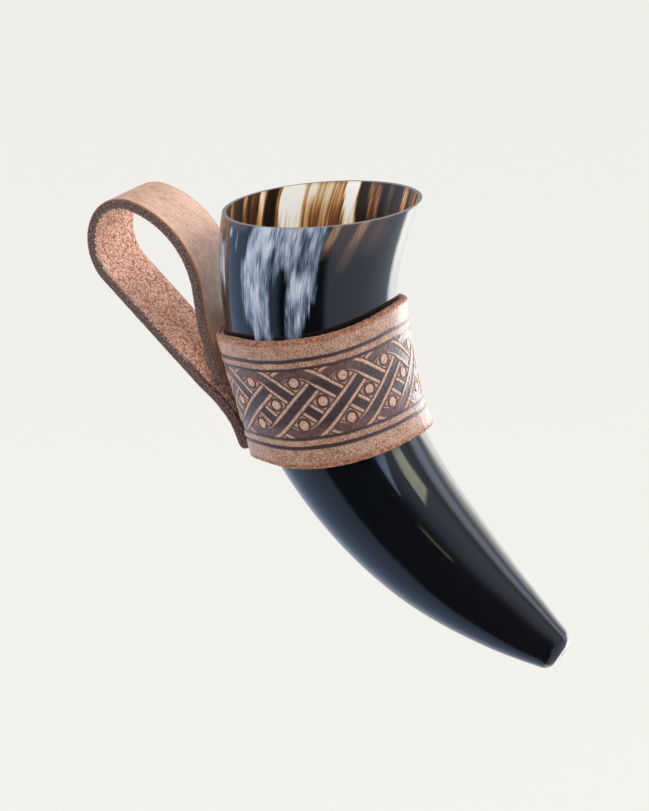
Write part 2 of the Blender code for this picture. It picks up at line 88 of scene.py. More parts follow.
# Band: the CAD's cone round the horn, its edges and its scarfed lap
BAND_TOP = (67.6266, 0, -34.6519)
BAND_LEAN = 13.3
BAND_HEIGHT = 45.2
BAND_THICKNESS = 3.0
BAND_TOP_RADIUS = 31.0707
BAND_TAPER = 1.6
BAND_EDGE_LIFT = 1.6
SEAT_GAP = 0.35
SEAT_BLEND = 0.8
LAP_LENGTH = 26.0
LAP_PAST_RIVETS = 5.7
LAP_EDGE = 0.6
LAP_GAP = 0.05

# Band's mesh, and the rays that find the horn under it
BAND_STEP = 0.26
BAND_EDGE_ROUND = 1.0
BAND_TOP_ROUND = 1.3
BAND_ROUND_STEPS = 6
LINING_ROWS = 40
FIT_TURNS = 129
FIT_DROPS = 40
FIT_MARGIN = 4.0
FIT_REACH = 70.0

# Band as worn: it hugs the horn, the strap's tail presses it, it rides up and its cut edges stray
BAND_HUG = 0.9
HUG_REACH = (0.24, 1.2)
LINING_FILL = 1.4
FILL_REACH = (0.18, 0.6)
BAND_RIDE = 1.3
BAND_RIDE_TURN = 303.0
BAND_RIDE_SPREAD = 22.0
BAND_PRESS = 1.9
PRESS_DOWN = (13, 15)
PRESS_TURN = 22.0
PRESS_SPREAD = 10.0
FRONT = (110, 70)
FRONT_TOP_RISE = 2.6
FRONT_BOTTOM_RISE = 2.8
SIDES = (40, 60)
SIDE_BOTTOM_DROP = 1.5
EDGE_FRAY = 0.34
BAND_BURNISH = 2.6
BURNISH_RUN = 1.5
BURNISH_STRENGTH = 0.75
POLISH_LEAST = 0.25
POLISH_MORE = 0.65
POLISH_STRIPE = (175, 25, 60)

# Tooling on the band, measured from the middle of its height
FIELD_MIDDLE = 22.6
PLAIT_REPEATS = 12
PLAIT_PHASE = 20.6
PLAIT_ROW = 7.5
PLAIT_FLAT = 11.3
PLAIT_CURVE = 2.8
PLAIT_WANDER = 0.16
SLOPE_STEP = 0.05
STRAND_CORE = 1.55
STRAND_OUTLINE = 1.05
STRAND_CUT = 0.50
OUTLINE_TAPER = (7.6, 3.6)
OUTLINE_LEAST = 0.20
DISC_RADIUS = 1.68
DISC_RING = 2.42
DISC_ROWS = ((-1, 0), (0, 0.5), (1, 0))
FIELD_EDGE = 11.7
FIELD_BORDER = 12.75
LINE_START = 14.7
LINE_END = 16.0
WORN = (6.5, 3)
FIELD_DEPTH = 0.06
CORE_DEPTH = 0.34
CUT_DEPTH = 0.42
TOOL_SOFTNESS = 0.26

# Strap: the CAD's folded path beside the band, as (length, turn) stretches
SEAT_ORIGIN = (33.8373, 0, -40.9952)
SEAT_DOWN = (0.269404, 0, -0.963027)
SEAT_OUT = (-0.963027, 0, -0.269404)
SEAT_RADIUS = 33.498
STRAP_START = (19.9062, 2.6251, 0)
STRAP_STRETCHES = (
    (19.9062, 0), (3.4907, -8), (11.4, 0), (41.5388, 70), (17.017, 78),
    (22.5558, 71.7974), (53.7625, 0), (16.6491, -31.7974), (8.4, 0),
)
STRAP_WIDTH = 27.5
STRAP_THICKNESS = 4.0
STRAP_CORNER = 3.0
STRAP_EDGE_ROUND = 1.1
TAIL_FLAT = 8.4
TAIL_CUP = 1.0
INNER_CUP = 0.3
CUP_EASE = 22.0
CUP_ABOVE_BAND = 7.3
SKIVE_LENGTH = 6.0
SKIVE_DEPTH = 1.2

# Strap's mesh and wear, its nap and pressed tail, and painted shade over stretches as (start, end, two
# softnesses)
STRAP_STEP = 0.25
STRAP_ROUND_STEPS = 6
CORNER_STEPS = 9
NAP_DEPTH = 0.42
NAP_EDGE = 2.2
EDGE_RAGGEDNESS = 0.2
TAIL_ROUND = 3.4
TAIL_ROUND_DEPTH = 2.0
TAIL_PRESS = 1.4
TAIL_PRESS_LENGTH = 17.0
TAIL_PRESS_RUN = 15.0
TAIL_PRESS_SIDE = 6.5
# Painted shade on the suede of the strap's lower run
SUEDE_SHADE_REACH = (122, 148, 16, 14)
# Painted shade on the grain side over the crown
CROWN_SHADE_REACH = (72, 112, 16, 16)
OPEN_START = 22.0
OPEN_BEFORE_END = 34.0
OPEN_RUN = 8.0
RIM_SHARE = 0.90

# Leather's relief in layers of noise, as (depth or share, scale one way, scale the other, seed)
BAND_GRAIN = ((0.10, 45, 1.3, 21), (0.08, 85, 2.5, 22))
STRAP_NAP = ((0.55, 1.5, 1.6, 31), (0.45, 2.7, 2.9, 32))
STRAP_PEBBLE = ((0.05, 0.5, 0.5, 33), (0.03, 1.6, 1.6, 34))

# Photograph: camera place and aim, for an image of 649 by 811
IMAGE_WIDTH = 649
AIM_FROM_MOUTH = (40.02, 0, -85)
CAMERA_AZIMUTH = 24.0
CAMERA_ELEVATION = 19.9
CAMERA_DISTANCE = 1000.0
FOCAL_PIXELS = 2857.1
AIM_PIXELS_LEFT = 103.7
AIM_PIXELS_UP = 45.25
SENSOR = 36.0


def smooth(x):
    x = np.clip(x, 0, 1)
    return x * x * (3 - 2 * x)


def rise(x, start, run):
    """0 up to start, then smoothly to 1 over run."""
    return smooth((x - start) / run)


def fall(x, end, run):
    """1 until run before end, then smoothly to 0 at end."""
    return smooth((end - x) / run)


def between(x, start, end, soft_start, soft_end):
    """1 from start to end, with each end softened about its place."""
    return smooth((x - start) / soft_start + 0.5) * smooth((end - x) / soft_end + 0.5)


def stripe(turn, centre, half_width, soft):
    """1 within half_width degrees of centre, falling to 0 over soft degrees."""
    return fall(np.abs((turn - centre + 180) % 360 - 180), half_width + soft, soft)


def bell(x, centre, spread):
    return np.exp(-(((x - centre) / spread) ** 2))


def lattice(ix, iy, iz, seed):
    """Repeatable random values from 0 to 1 at whole-number points, by an integer hash."""
    mixed = (ix * 374761393 + iy * 668265263 + iz * 1440670441 + seed * 1274126177) & 0xFFFFFFFF
    mixed = ((mixed ^ (mixed >> 13)) * 1274126177) & 0xFFFFFFFF
    mixed = ((mixed ^ (mixed >> 15)) * 2246822519) & 0xFFFFFFFF
    return ((mixed ^ (mixed >> 16)) & 0xFFFF) / 65535


def noise(x, y, z=0, seed=0):
    """Smooth random values from 0 to 1 whose features are about one unit across."""
    x, y, z = np.broadcast_arrays(np.asarray(x, float), y, z)
    ix, iy, iz = (np.floor(v).astype(np.int64) for v in (x, y, z))
    fx, fy, fz = smooth(x - ix), smooth(y - iy), smooth(z - iz)
    total = 0
    for dx in (0, 1):
        for dy in (0, 1):
            for dz in (0, 1):
                share = (fx if dx else 1 - fx) * (fy if dy else 1 - fy) * (fz if dz else 1 - fz)
                total = total + share * lattice(ix + dx, iy + dy, iz + dz, seed)
    return total


def quarter_round(count):
    """(1 - cosine, 1 - sine) at even steps of a quarter turn."""
    angles = np.linspace(0, math.pi / 2, count)
    return list(zip(1 - np.cos(angles), 1 - np.sin(angles)))


def layered_noise(u, v, layers):
    return sum(depth * noise(u * u_scale, v * v_scale, 0, seed) for depth, u_scale, v_scale, seed in layers)


def ring_noise(turn, size, shift, depth, seed):
    """Noise that closes on itself round a ring of this size."""
    return noise(np.cos(turn) * size + shift, np.sin(turn) * size + shift, depth, seed)


def plumb_axes(lean):
    """Unit vectors down along a line of this lean, and square to it towards the outer curve."""
    angle = np.radians(lean)
    zero = np.zeros_like(angle)
    down = np.stack((np.sin(angle), zero, -np.cos(angle)), -1)
    outward = np.stack((-np.cos(angle), zero, -np.sin(angle)), -1)
    return down, outward


def spokes(outward, turn):
    """Unit vectors out from an axis at these turns round it."""
    return outward * np.cos(turn)[..., None] + ACROSS * np.sin(turn)[..., None]


def add_object(name, data):
    item = bpy.data.objects.new(name, data)
    bpy.context.scene.collection.objects.link(item)
    return item


def grid_object(name, points, attributes):
    """A smooth closed object over rows of points in millimetres, each row a closed ring."""
    rows, count = points.shape[:2]
    index = np.arange(rows * count).reshape(rows, count)
    following = np.roll(index, -1, 1)
    quads = np.stack((index[:-1], following[:-1], following[1:], index[1:]), -1).reshape(-1, 4)
    a, b, c, d = (points.reshape(-1, 3)[quads[:, k]] for k in range(4))
    volume = np.einsum("ij,ij->i", a, np.cross(b, c) + np.cross(c, d)).sum()
    first, last = index[0].tolist(), index[-1].tolist()
    if volume < 0:
        faces = quads[:, ::-1].tolist() + [first, last[::-1]]
    else:
        faces = quads.tolist() + [first[::-1], last]
    mesh = bpy.data.meshes.new(name)
    mesh.from_pydata((points.reshape(-1, 3) * MM).tolist(), [], faces)
    mesh.shade_smooth()
    for key, values in attributes.items():
        values = np.asarray(values, np.float32)
        kind, field = ("FLOAT_VECTOR", "vector") if values.ndim == 3 else ("FLOAT", "value")
        mesh.attributes.new(key, kind, "POINT").data.foreach_set(field, values.reshape(-1))
    return add_object(name, mesh)


# Horn

def lean_at(along):
    """Lean of the centre line, by the curve through HORN_LEANS at even steps of its length."""
    x = (len(HORN_LEANS) - 1) * along / HORN_LENGTH
    total = 0
    for i, lean in enumerate(HORN_LEANS):
        share = 1
        for j in range(len(HORN_LEANS)):
            if j != i:
                share = share * (x - j) / (i - j)
        total = total + lean * share
    return total


def centre_line():
    places = np.linspace(0, HORN_LENGTH, CENTRE_LINE_STEPS + 1)
    down, _ = plumb_axes(lean_at((places[:-1] + places[1:]) / 2))
    points = np.cumsum(down * (HORN_LENGTH / CENTRE_LINE_STEPS), 0)
    return places, np.vstack((np.zeros(3), points)) + np.array(MOUTH_CENTRE)


def horn_radius(along):
    """Radius by a spline through the diameters that never overshoots them."""
    places, values = (np.array(v) for v in zip(*HORN_DIAMETERS))
    rates = np.diff(values) / np.diff(places)
    before, after = rates[:-1], rates[1:]
    slopes = np.concatenate(([rates[0]], 2 * before * after / (before + after), [rates[-1]]))
    i = np.clip(np.searchsorted(places, along, "right") - 1, 0, len(rates) - 1)
    run = places[i + 1] - places[i]
    t = (along - places[i]) / run
    start = values[i] * (1 + 2 * t) * (1 - t) ** 2 + slopes[i] * run * t * (1 - t) ** 2
    end = values[i + 1] * t * t * (3 - 2 * t) + slopes[i + 1] * run * t * t * (t - 1)
    return (start + end) / 2


def hollow_radius(along):
    wall = RIM_WALL + (BODY_WALL - RIM_WALL) * np.minimum(along / WALL_GROWTH, 1)
    past = np.maximum(along - (HOLLOW_DEPTH - HOLLOW_ROUNDING), 0) / HOLLOW_ROUNDING
    return (horn_radius(along) - wall) * np.sqrt(np.maximum(1 - past * past, 0))


def horn_profile():
    """(along, radius, inside) from the tip's middle, up the outside, over the rim and down the hollow."""
    bends = quarter_round(ROUNDING_RINGS)
    tip_flat = horn_radius(HORN_LENGTH) - TIP_ROUNDING
    straight_end = HOLLOW_DEPTH - HOLLOW_ROUNDING
    profile = [(HORN_LENGTH, r, 0) for r in np.linspace(TIP_MIDDLE, tip_flat, TIP_FLAT_RINGS)[:-1]]
    for near, far in bends:
        along = HORN_LENGTH - TIP_ROUNDING * near
        profile.append((along, horn_radius(along) - TIP_ROUNDING * far, 0))
    for along in np.arange(HORN_LENGTH - TIP_ROUNDING - HORN_STEP, RIM_ROUNDING, -HORN_STEP):
        profile.append((along, horn_radius(along), 0))
    for near, far in bends:
        profile.append((RIM_ROUNDING * far, horn_radius(0) - RIM_ROUNDING * near, 0))
    for share, (near, far) in zip(np.linspace(0.5, 1, ROUNDING_RINGS), bends):
        profile.append((RIM_ROUNDING * near, hollow_radius(0) + RIM_ROUNDING * far, share))
    for along in np.arange(RIM_ROUNDING + HORN_STEP, straight_end, HORN_STEP):
        profile.append((along, hollow_radius(along), 1))
    for _, far in quarter_round(HOLLOW_END_RINGS)[1:]:
        along = straight_end + HOLLOW_ROUNDING * (1 - far)
        profile.append((along, max(hollow_radius(along), HOLLOW_MIDDLE), 1))
    return np.array(profile)


# Pale streaks inside the mouth, as (turn, half width, lightness)
INSIDE_STREAKS = (
    (10.5, 0.8, 0.62), (18, 1.6, 0.34), (25.5, 1.2, 0.80), (39, 0.6, 0.55), (47, 6, 1.2), (56.5, 1.2, 0.66),
    (60, 1.4, 0.90), (66, 2.2, 0.62), (70.5, 1.2, 0.74), (76, 2, 0.58), (84, 2.8, 1.15), (97, 0.6, 0.50),
    (102, 0.8, 0.52), (113, 0.5, 0.32), (127.5, 1.4, 0.60), (137, 0.8, 0.46), (143, 1.2, 0.52),
    (152, 1.5, 0.62), (163, 3, 0.90), (176, 1.4, 0.5), (190, 4, 0.72), (205, 1.4, 0.5), (221, 2, 0.6),
    (238, 1.4, 0.45), (251, 7, 0.95), (270, 5, 0.9), (281, 1.4, 0.6), (296, 1.4, 0.45), (313, 1.6, 0.55),
    (330, 2, 0.62), (344, 1, 0.42), (354, 1.4, 0.5),
)
STREAK_SOFTNESS = 3.6
STREAK_WANDER = 5.0
STREAK_SLANT = 0.4
SLANT_BEGINS = (60, 50)
SLANT_ENDS = (190, 30)
INSIDE_LEAST = 0.13
INSIDE_GLOW = (70, 8, 6)
INSIDE_GLOW_LEVEL = 0.58
RIM_SHADE = 0.15
# Light lost down the hollow, as (loss, start, run)
INSIDE_LOSSES = ((0.30, 2, 14), (0.45, 18, 60))

# Strokes of colour outside, as (turn, slant in degrees per millimetre, half width, softness) round the horn,
# (start, end, two softnesses) along it, and strength
PALE_STROKES = (
    # Painted reflection: pale streaks down the limb at turn 320
    ((320, 0, 6, 5), (9, 29, 8, 10), 0.70),
    ((305, 0, 0.8, 1.5), (2.5, 9, 3, 5), 0.75),
    ((297.5, 0, 0.8, 2), (3, 11, 4, 5), 0.5),
    ((92, 0, 14, 12), (-4, 28, 4, 22), 0.7),
    ((66, 0, 5, 7), (4, 46, 10, 18), 0.7),
)
BROWN_STROKES = (
    ((235, 0.5, 1.5, 2.8), (-4, 9, 4, 9), 1),
    ((219, 0.55, 1.6, 4.2), (-4, 10, 4, 22), 0.95),
    ((207, 0.6, 2, 4), (-4, 9, 4, 12), 0.40),
    ((222, 0, 14, 14), (-4, 9, 4, 18), 0.30),
    ((301, 0, 8, 6), (-4, 3, 4, 6), 0.45),
    ((311, 0, 1.8, 3), (-4, 22, 4, 24), 0.7),
    ((320, 0, 8, 5), (-4, 8, 4, 6), 0.6),
    ((135, 0, 8, 10), (-4, 18, 4, 22), 0.7),
)
OLIVE_STROKES = (
    ((232, 0, 0.3, 0.9), (130, 146.5, 7, 4), 0.45),
    ((120, 0, 3, 3), (92, 138, 14, 20), 0.7),
)

# Pale patch on the near side: edges as (along, turn), the gap that splits it, and its light and dark strokes
PATCH_LOW = ((0, 240), (14, 240.5), (21, 241.5), (25, 240), (31, 243.5), (40, 248.5), (46, 252))
PATCH_HIGH = (
    (0, 285.5), (5, 288), (10, 290), (17, 293.5), (25, 294), (33, 291.5), (41, 285), (46, 279)
)
PATCH_REACH = (-6, 46, 4, 14)
PATCH_LEVEL = 0.59
PATCH_RIM_LIGHT = 0.16
PATCH_LIGHTS = (
    ((283, 0, 8, 8), (-90, 90, 4, 4), 0.08),
    ((250, 0, 6, 6), (17, 25, 6, 8), 0.16),
)
PATCH_SHADES = (
    ((268, 0, 2, 6), (11, 24, 6, 8), 0.25),
    ((251, 0, 1, 3), (2, 17, 4, 8), 0.40),
)
GAP_LOW = ((13, 262), (16, 259.5), (24, 259), (33, 260), (43, 260.5))
GAP_HIGH = ((13, 262), (16, 264.5), (24, 268), (33, 271), (38, 270), (43, 267.5))
FRAY = 7.0
FRAY_WIDTH = 1.7
FRAY_LENGTH = 40.0

# Streak and wedge on the dark body below the band, with edges as (along, turn)
OLIVE_LOW = ((95, 206.5), (119, 205.1))
OLIVE_HIGH = ((95, 213.8), (124, 215.8))
OLIVE_REACH = (84, 119.5, 6, 2.5)
OLIVE_SLANT = 0.43
OLIVE_SLANT_TURN = 205.0
STEEL_LOW = ((97, 220.3), (106, 224.8), (118, 229))
STEEL_HIGH = ((97, 228.3), (118, 228.3))
STEEL_REACH = (90, 116, 6, 4)
STEEL_STRENGTH = 0.60
LOWER = (100, 90)
# Painted highlight along the rim's lip, this deep
LIP_DEPTH = 0.4
GRAIN_RADIUS = 31.0


def inside_light(turn, along):
    """Lightness of the hollow's wall: streaks that turn amber and fade into brown down the horn, the fade
    being painted shade.
    """
    turn = turn - STREAK_SLANT * along * rise(turn, *SLANT_BEGINS) * fall(turn, *SLANT_ENDS)
    wander = STREAK_WANDER * (noise(turn / 6, along / 22, 0, 6) - 0.5) * rise(along, 0, 12)
    light = np.full(np.broadcast(turn, along).shape, INSIDE_LEAST)
    for centre, half_width, level in INSIDE_STREAKS:
        light = np.maximum(light, level * stripe(turn + wander, centre, half_width, STREAK_SOFTNESS))
    light = np.maximum(light, INSIDE_GLOW_LEVEL * stripe(turn, *INSIDE_GLOW))
    kept = 1 - sum(loss * rise(along, start, run) for loss, start, run in INSIDE_LOSSES)
    return light * kept * (1 - RIM_SHADE * (1 - rise(along, 0.2, 1)))


def between_edges(turn, along, low, high, *softness):
    """1 between two edges given as (along, turn)."""
    low, high = (np.interp(along, *zip(*edge)) for edge in (low, high))
    return between(turn, low, high, *softness)


def strokes(turn, along, table):
    """The strongest of the table's strokes at each place."""
    found = 0
    for (centre, slant, half_width, soft), reach, strength in table:
        stroke = stripe(turn - slant * along, centre, half_width, soft) * between(along, *reach)
        found = np.maximum(found, stroke * strength)
    return found


def outside_pale(turn, along):
    """How pale the outside is: on the near side a fibrous patch under the rim that splits into two tails, and
    pale strokes, the one at turn 320 a painted reflection.
    """
    fray = FRAY * (noise(turn / FRAY_WIDTH, along / FRAY_LENGTH, 0, 7) - 0.5)
    along = along + fray * rise(along, 4, 8)
    sheet = between_edges(turn, along, PATCH_LOW, PATCH_HIGH, 5, 7)
    gap = between_edges(turn, along, GAP_LOW, GAP_HIGH, 6, 6) * rise(along, 9, 12)
    level = PATCH_LEVEL + strokes(turn, along, PATCH_LIGHTS) + PATCH_RIM_LIGHT * fall(along, 14, 8)
    near = sheet * between(along, *PATCH_REACH) * level * (1 - gap) * (1 - strokes(turn, along, PATCH_SHADES))
    return np.maximum(near, strokes(turn, along, PALE_STROKES))


def outside_olive(turn, along):
    """Olive streaks in the dark body below the band, the broad one cut off at a slant."""
    broad = between_edges(turn, along, OLIVE_LOW, OLIVE_HIGH, 1.4, 1.2)
    broad = broad * between(along - OLIVE_SLANT * (turn - OLIVE_SLANT_TURN), *OLIVE_REACH)
    return np.maximum(broad, strokes(turn, along, OLIVE_STROKES))


def outside_steel(turn, along):
    """A blue-grey wedge just below the band."""
    wedge = between_edges(turn, along, STEEL_LOW, STEEL_HIGH, 1.6, 1.4)
    return STEEL_STRENGTH * wedge * between(along, *STEEL_REACH)


def horn_attributes(turn, along, radius, inside, at_tip):
    """What the horn's material reads: grain in centimetres, and where each colour lies."""
    degrees = np.degrees(turn)
    full = np.ones((len(along), HORN_SIDES))
    outside = inside < 0.5
    round_grain = GRAIN_RADIUS * full
    return {
        "grain": np.stack((np.cos(turn) * round_grain, np.sin(turn) * round_grain, along * full), -1) / 10,
        "inside": inside * full,
        "light": inside_light(degrees, along),
        "pale": outside_pale(degrees, along) * outside,
        "brown": strokes(degrees, along, BROWN_STROKES) * outside,
        "olive": outside_olive(degrees, along) * outside,
        "steel": outside_steel(degrees, along) * outside,
        # lip: where the painted highlight along the rim lies
        "lip": fall(along, LIP_DEPTH, LIP_DEPTH) * full,
        "lower": rise(along, *LOWER) * full,
        "tip": at_tip * fall(radius, *CHIP_PALE_EDGE) * full,
    }


def make_horn():
    along, radius, inside = (v[:, None] for v in horn_profile().T)
    turn = np.linspace(0, 2 * math.pi, HORN_SIDES, endpoint=False)[None, :]
    near_mouth = np.maximum(1 - along / RIM_SQUARING, 0) ** 2
    _, outward = plumb_axes(lean_at(along) + (RIM_LEAN - HORN_LEANS[0]) * near_mouth)
    down, _ = plumb_axes(lean_at(along))
    places, line = centre_line()
    centre = np.stack([np.interp(along, places, line[:, k]) for k in range(3)], -1)
    waves = 0.75 * ring_noise(turn, 1.6, 9, along / WAVE_LENGTH, 3)
    waves = waves + 0.25 * ring_noise(turn, 5, 9, along / RIPPLE_LENGTH, 4)
    uneven = HORN_UNEVENNESS * waves * rise(along, *EVEN_RIM) * np.minimum(radius / EVEN_RADIUS, 1)
    at_tip = rise(along, *TIP_FACE)
    chips = CHIP_DEPTH * ring_noise(turn, radius * 1.1, 20, along * 0.9, 5)
    chips = chips * fall(radius, *CHIP_EDGE) * at_tip
    points = centre + spokes(outward, turn) * (radius - uneven)[..., None] - down * chips[..., None]
    return grid_object("polished_horn", points, horn_attributes(turn, along, radius, inside, at_tip))


# Band

def band_axis_drop(turn, drop):
    return drop - BAND_EDGE_LIFT * np.cos(turn)


def from_strap(turn):
    """Degrees round the band from the strap, either way."""
    return np.abs((np.degrees(turn) + 180) % 360 - 180)


def band_edge_shift(turn, drop):
    """How far the hand-cut edges stray downward from the CAD's straight ones, alike on both sides."""
    away = from_strap(turn)
    front = rise(away, *FRONT)
    top = FRONT_TOP_RISE * front**1.5
    bottom = SIDE_BOTTOM_DROP * rise(away, *SIDES) - FRONT_BOTTOM_RISE * front
    share = np.clip(drop / BAND_HEIGHT, 0, 1)
    return bottom * share**3 - top * (1 - share)


class BandSurface:
    """The leather's inner face round the horn, found by rays and read back by interpolation."""

    def __init__(self, fill=0):
        self.fill = fill
        self.down, self.outward = plumb_axes(np.array(BAND_LEAN))
        self.top = np.array(BAND_TOP)
        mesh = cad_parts["horn"].data
        surface = BVHTree.FromPolygons([v.co for v in mesh.vertices], [p.vertices for p in mesh.polygons])
        self.turns = np.linspace(0, 2 * math.pi, FIT_TURNS)
        self.drops = np.linspace(-FIT_MARGIN, BAND_HEIGHT + FIT_MARGIN, FIT_DROPS)
        self.radii = np.array([[self.measure(surface, t, d) for d in self.drops] for t in self.turns])

    def measure(self, surface, turn, drop):
        """Inner radius at one place: the worn cone's, or the horn's and a gap where that is wider."""
        to_front = 1 - math.cos(turn)
        hug = BAND_HUG * rise(to_front, *HUG_REACH) + self.fill * rise(to_front, *FILL_REACH)
        press = BAND_PRESS * rise(drop, *PRESS_DOWN) * bell(from_strap(turn), PRESS_TURN, PRESS_SPREAD)
        cone = BAND_TOP_RADIUS - BAND_TAPER * drop / BAND_HEIGHT - hug - press
        way = self.outward * math.cos(turn) + ACROSS * math.sin(turn)
        axis_point = self.top + self.down * band_axis_drop(turn, drop)
        hit = surface.ray_cast(Vector((axis_point + way * FIT_REACH) * MM), Vector(-way), FIT_REACH * MM)[0]
        if hit is None:
            return cone
        horn = (np.array(hit) / MM - axis_point).dot(way) + SEAT_GAP
        return (cone + horn + math.hypot(cone - horn, SEAT_BLEND)) / 2

    def inner_radius(self, turn, drop):
        x = (turn % (2 * math.pi)) / (2 * math.pi) * (len(self.turns) - 1)
        y = (drop - self.drops[0]) / (self.drops[1] - self.drops[0])
        i = np.clip(np.floor(x).astype(int), 0, len(self.turns) - 2)
        j = np.clip(np.floor(y).astype(int), 0, len(self.drops) - 2)
        u, v = x - i, y - j
        r = self.radii
        low = r[i, j] * (1 - u) + r[i + 1, j] * u
        high = r[i, j + 1] * (1 - u) + r[i + 1, j + 1] * u
        return low * (1 - v) + high * v

    def point(self, turn, drop, radius):
        axis_point = self.top + self.down * band_axis_drop(turn, drop)[..., None]
        return axis_point + spokes(self.outward, turn) * radius[..., None]


def strand_height(x, pitch):
    """Height of a strand, from the field's middle, this far past its upper turn."""
    line = -2 * PLAIT_ROW + x * 2 * PLAIT_ROW / pitch
    upper = (line - PLAIT_FLAT + np.hypot(line + PLAIT_FLAT, PLAIT_CURVE)) / 2
    return (upper + PLAIT_FLAT - np.hypot(upper - PLAIT_FLAT, PLAIT_CURVE)) / 2


def nearest_strand(phase, height, pitch, way):
    """Distance to the nearest strand running down (way 1) or up (way -1), and its outline's share."""
    found = []
    for back in (0, 1):
        x = (phase - np.floor(phase) + back) * pitch
        middle = way * strand_height(x, pitch)
        ahead, behind = (strand_height(x + step, pitch) for step in (SLOPE_STEP, -SLOPE_STEP))
        slope = (ahead - behind) / (2 * SLOPE_STEP)
        found.append((np.abs(height - middle) / np.hypot(1, slope), np.abs(middle)))
    first = found[0][0] < found[1][0]
    taper = rise(np.where(first, found[0][1], found[1][1]), *OUTLINE_TAPER)
    return np.minimum(found[0][0], found[1][0]), 1 - (1 - OUTLINE_LEAST) * taper


def inside_of(distance, limit):
    """1 where distance is under limit, with the tool's soft edge."""
    return smooth((limit - distance) / TOOL_SOFTNESS + 0.5)


def lay(under, cover, *over):
    """Layers with others, already cut to their cover, laid over them."""
    return [low * (1 - cover) + high for low, high in zip(under, over)]


def lay_strands(layers, phase, height, pitch):
    """The plait's strands over (stain, proud, depth), the ones on top last."""
    down, down_share = nearest_strand(phase, height, pitch, 1)
    up, up_share = nearest_strand(phase, height, pitch, -1)
    down_over = height < -PLAIT_ROW / 2
    for over in (False, True):
        chosen = down_over == over
        strand = np.where(chosen, down, up)
        edge = STRAND_CORE + STRAND_OUTLINE * np.where(chosen, down_share, up_share)
        cover = inside_of(strand, edge + STRAND_CUT)
        core = inside_of(strand, STRAND_CORE)
        raised = np.maximum(inside_of(strand, edge) - core, 0)
        depth = CORE_DEPTH * core + CUT_DEPTH * (1 - core - raised)
        layers = lay(layers, cover, (1 - raised) * cover, raised * cover, depth * cover)
    return layers


def lay_discs(layers, phase, height, pitch):
    """The rows of punched discs over (stain, proud, depth)."""
    for row, shift in DISC_ROWS:
        across = ((phase - shift + 0.5) % 1 - 0.5) * pitch
        far = np.hypot(across, height - row * PLAIT_ROW)
        ring = inside_of(far, DISC_RING)
        disc = inside_of(far, DISC_RADIUS)
        layers = lay(layers, ring, ring - disc, disc, CUT_DEPTH * (ring - disc))
    return layers


def tooling(turn, drop):
    """(stain, depth, worn, proud, sunk) of the plait, its discs and its border lines over the band."""
    pitch = 2 * math.pi * (BAND_TOP_RADIUS + BAND_THICKNESS - BAND_TAPER / 2) / PLAIT_REPEATS
    phase = (math.radians(PLAIT_PHASE) - turn) * PLAIT_REPEATS / (2 * math.pi)
    phase = phase + PLAIT_WANDER / pitch * (noise(turn * 8, drop / 8, 5, 12) - 0.5)
    height = drop - FIELD_MIDDLE + PLAIT_WANDER * (noise(turn * 9, drop / 9, 0, 11) - 0.5)
    bare = np.zeros_like(height)
    layers = lay_strands((bare, bare, bare + FIELD_DEPTH), phase, height, pitch)
    stain, proud, depth = lay_discs(layers, phase, height, pitch)
    out = np.abs(height)
    field = inside_of(out, FIELD_EDGE)
    scored = inside_of(out, FIELD_BORDER) - field + inside_of(out, LINE_END) - inside_of(out, LINE_START)
    stain = np.clip(stain * field + scored, 0, 1)
    depth = depth * field + CUT_DEPTH * scored
    worn = rise(out, *WORN) * field
    return stain, depth, worn, proud * field, field * (1 - stain) * (1 - proud)


def band_section():
    """(drop, share of thickness, face) round the band's section; face 1 is outside, -1 lining, 0 cut edge."""
    low, top = BAND_EDGE_ROUND, BAND_TOP_ROUND
    count = int((BAND_HEIGHT - low - top) / BAND_STEP)
    outside = [(d, 1, 1) for d in np.linspace(top, BAND_HEIGHT - low, count)]
    lining = [(d, 0, -1) for d in np.linspace(BAND_HEIGHT - low, low, LINING_ROWS)]

    def edge(outer, inner):
        """(reach past the rounding, share) over one cut edge, from the outside to the lining."""
        made = []
        for near, far in quarter_round(BAND_ROUND_STEPS)[1:]:
            made.append((outer * far, 1 - outer / BAND_THICKNESS * near))
        flat = np.linspace(made[-1][1], inner / BAND_THICKNESS, BAND_ROUND_STEPS)
        made += [(0, s) for s in flat[1:-1]]
        for near, far in quarter_round(BAND_ROUND_STEPS - 1)[:0:-1]:
            made.append((inner * far, inner / BAND_THICKNESS * near))
        return made

    lower = [(BAND_HEIGHT - d, s, 0) for d, s in edge(low, low)]
    upper = [(d, s, 0) for d, s in reversed(edge(top, low))]
    return np.array(outside + lower + lining + upper)


def band_stations():
    """(turn, inner offset, outer offset) from the lap's inner end round to its outer end."""
    around = 2 * math.pi
    lap_turn = LAP_LENGTH / BAND_TOP_RADIUS
    start = (LAP_PAST_RIVETS - LAP_LENGTH) / BAND_TOP_RADIUS
    nudge = LAP_GAP / BAND_TOP_RADIUS
    ramp = BAND_THICKNESS - 2 * LAP_EDGE - LAP_GAP

    def under(turn):
        return LAP_EDGE + ramp * (turn - start) / lap_turn

    lap = np.linspace(start, start + lap_turn, int(LAP_LENGTH / BAND_STEP))
    count = int((around - lap_turn) * BAND_TOP_RADIUS / BAND_STEP)
    opened = np.linspace(start + lap_turn + nudge, around + start - 2 * nudge, count)
    stations = [(t, 0, under(t)) for t in lap]
    stations += [(t, 0, BAND_THICKNESS) for t in opened]
    stations += [(around + start - nudge, under(start) + LAP_GAP, BAND_THICKNESS)]
    stations += [(around + t, under(t) + LAP_GAP, BAND_THICKNESS) for t in lap]
    return np.array(stations)


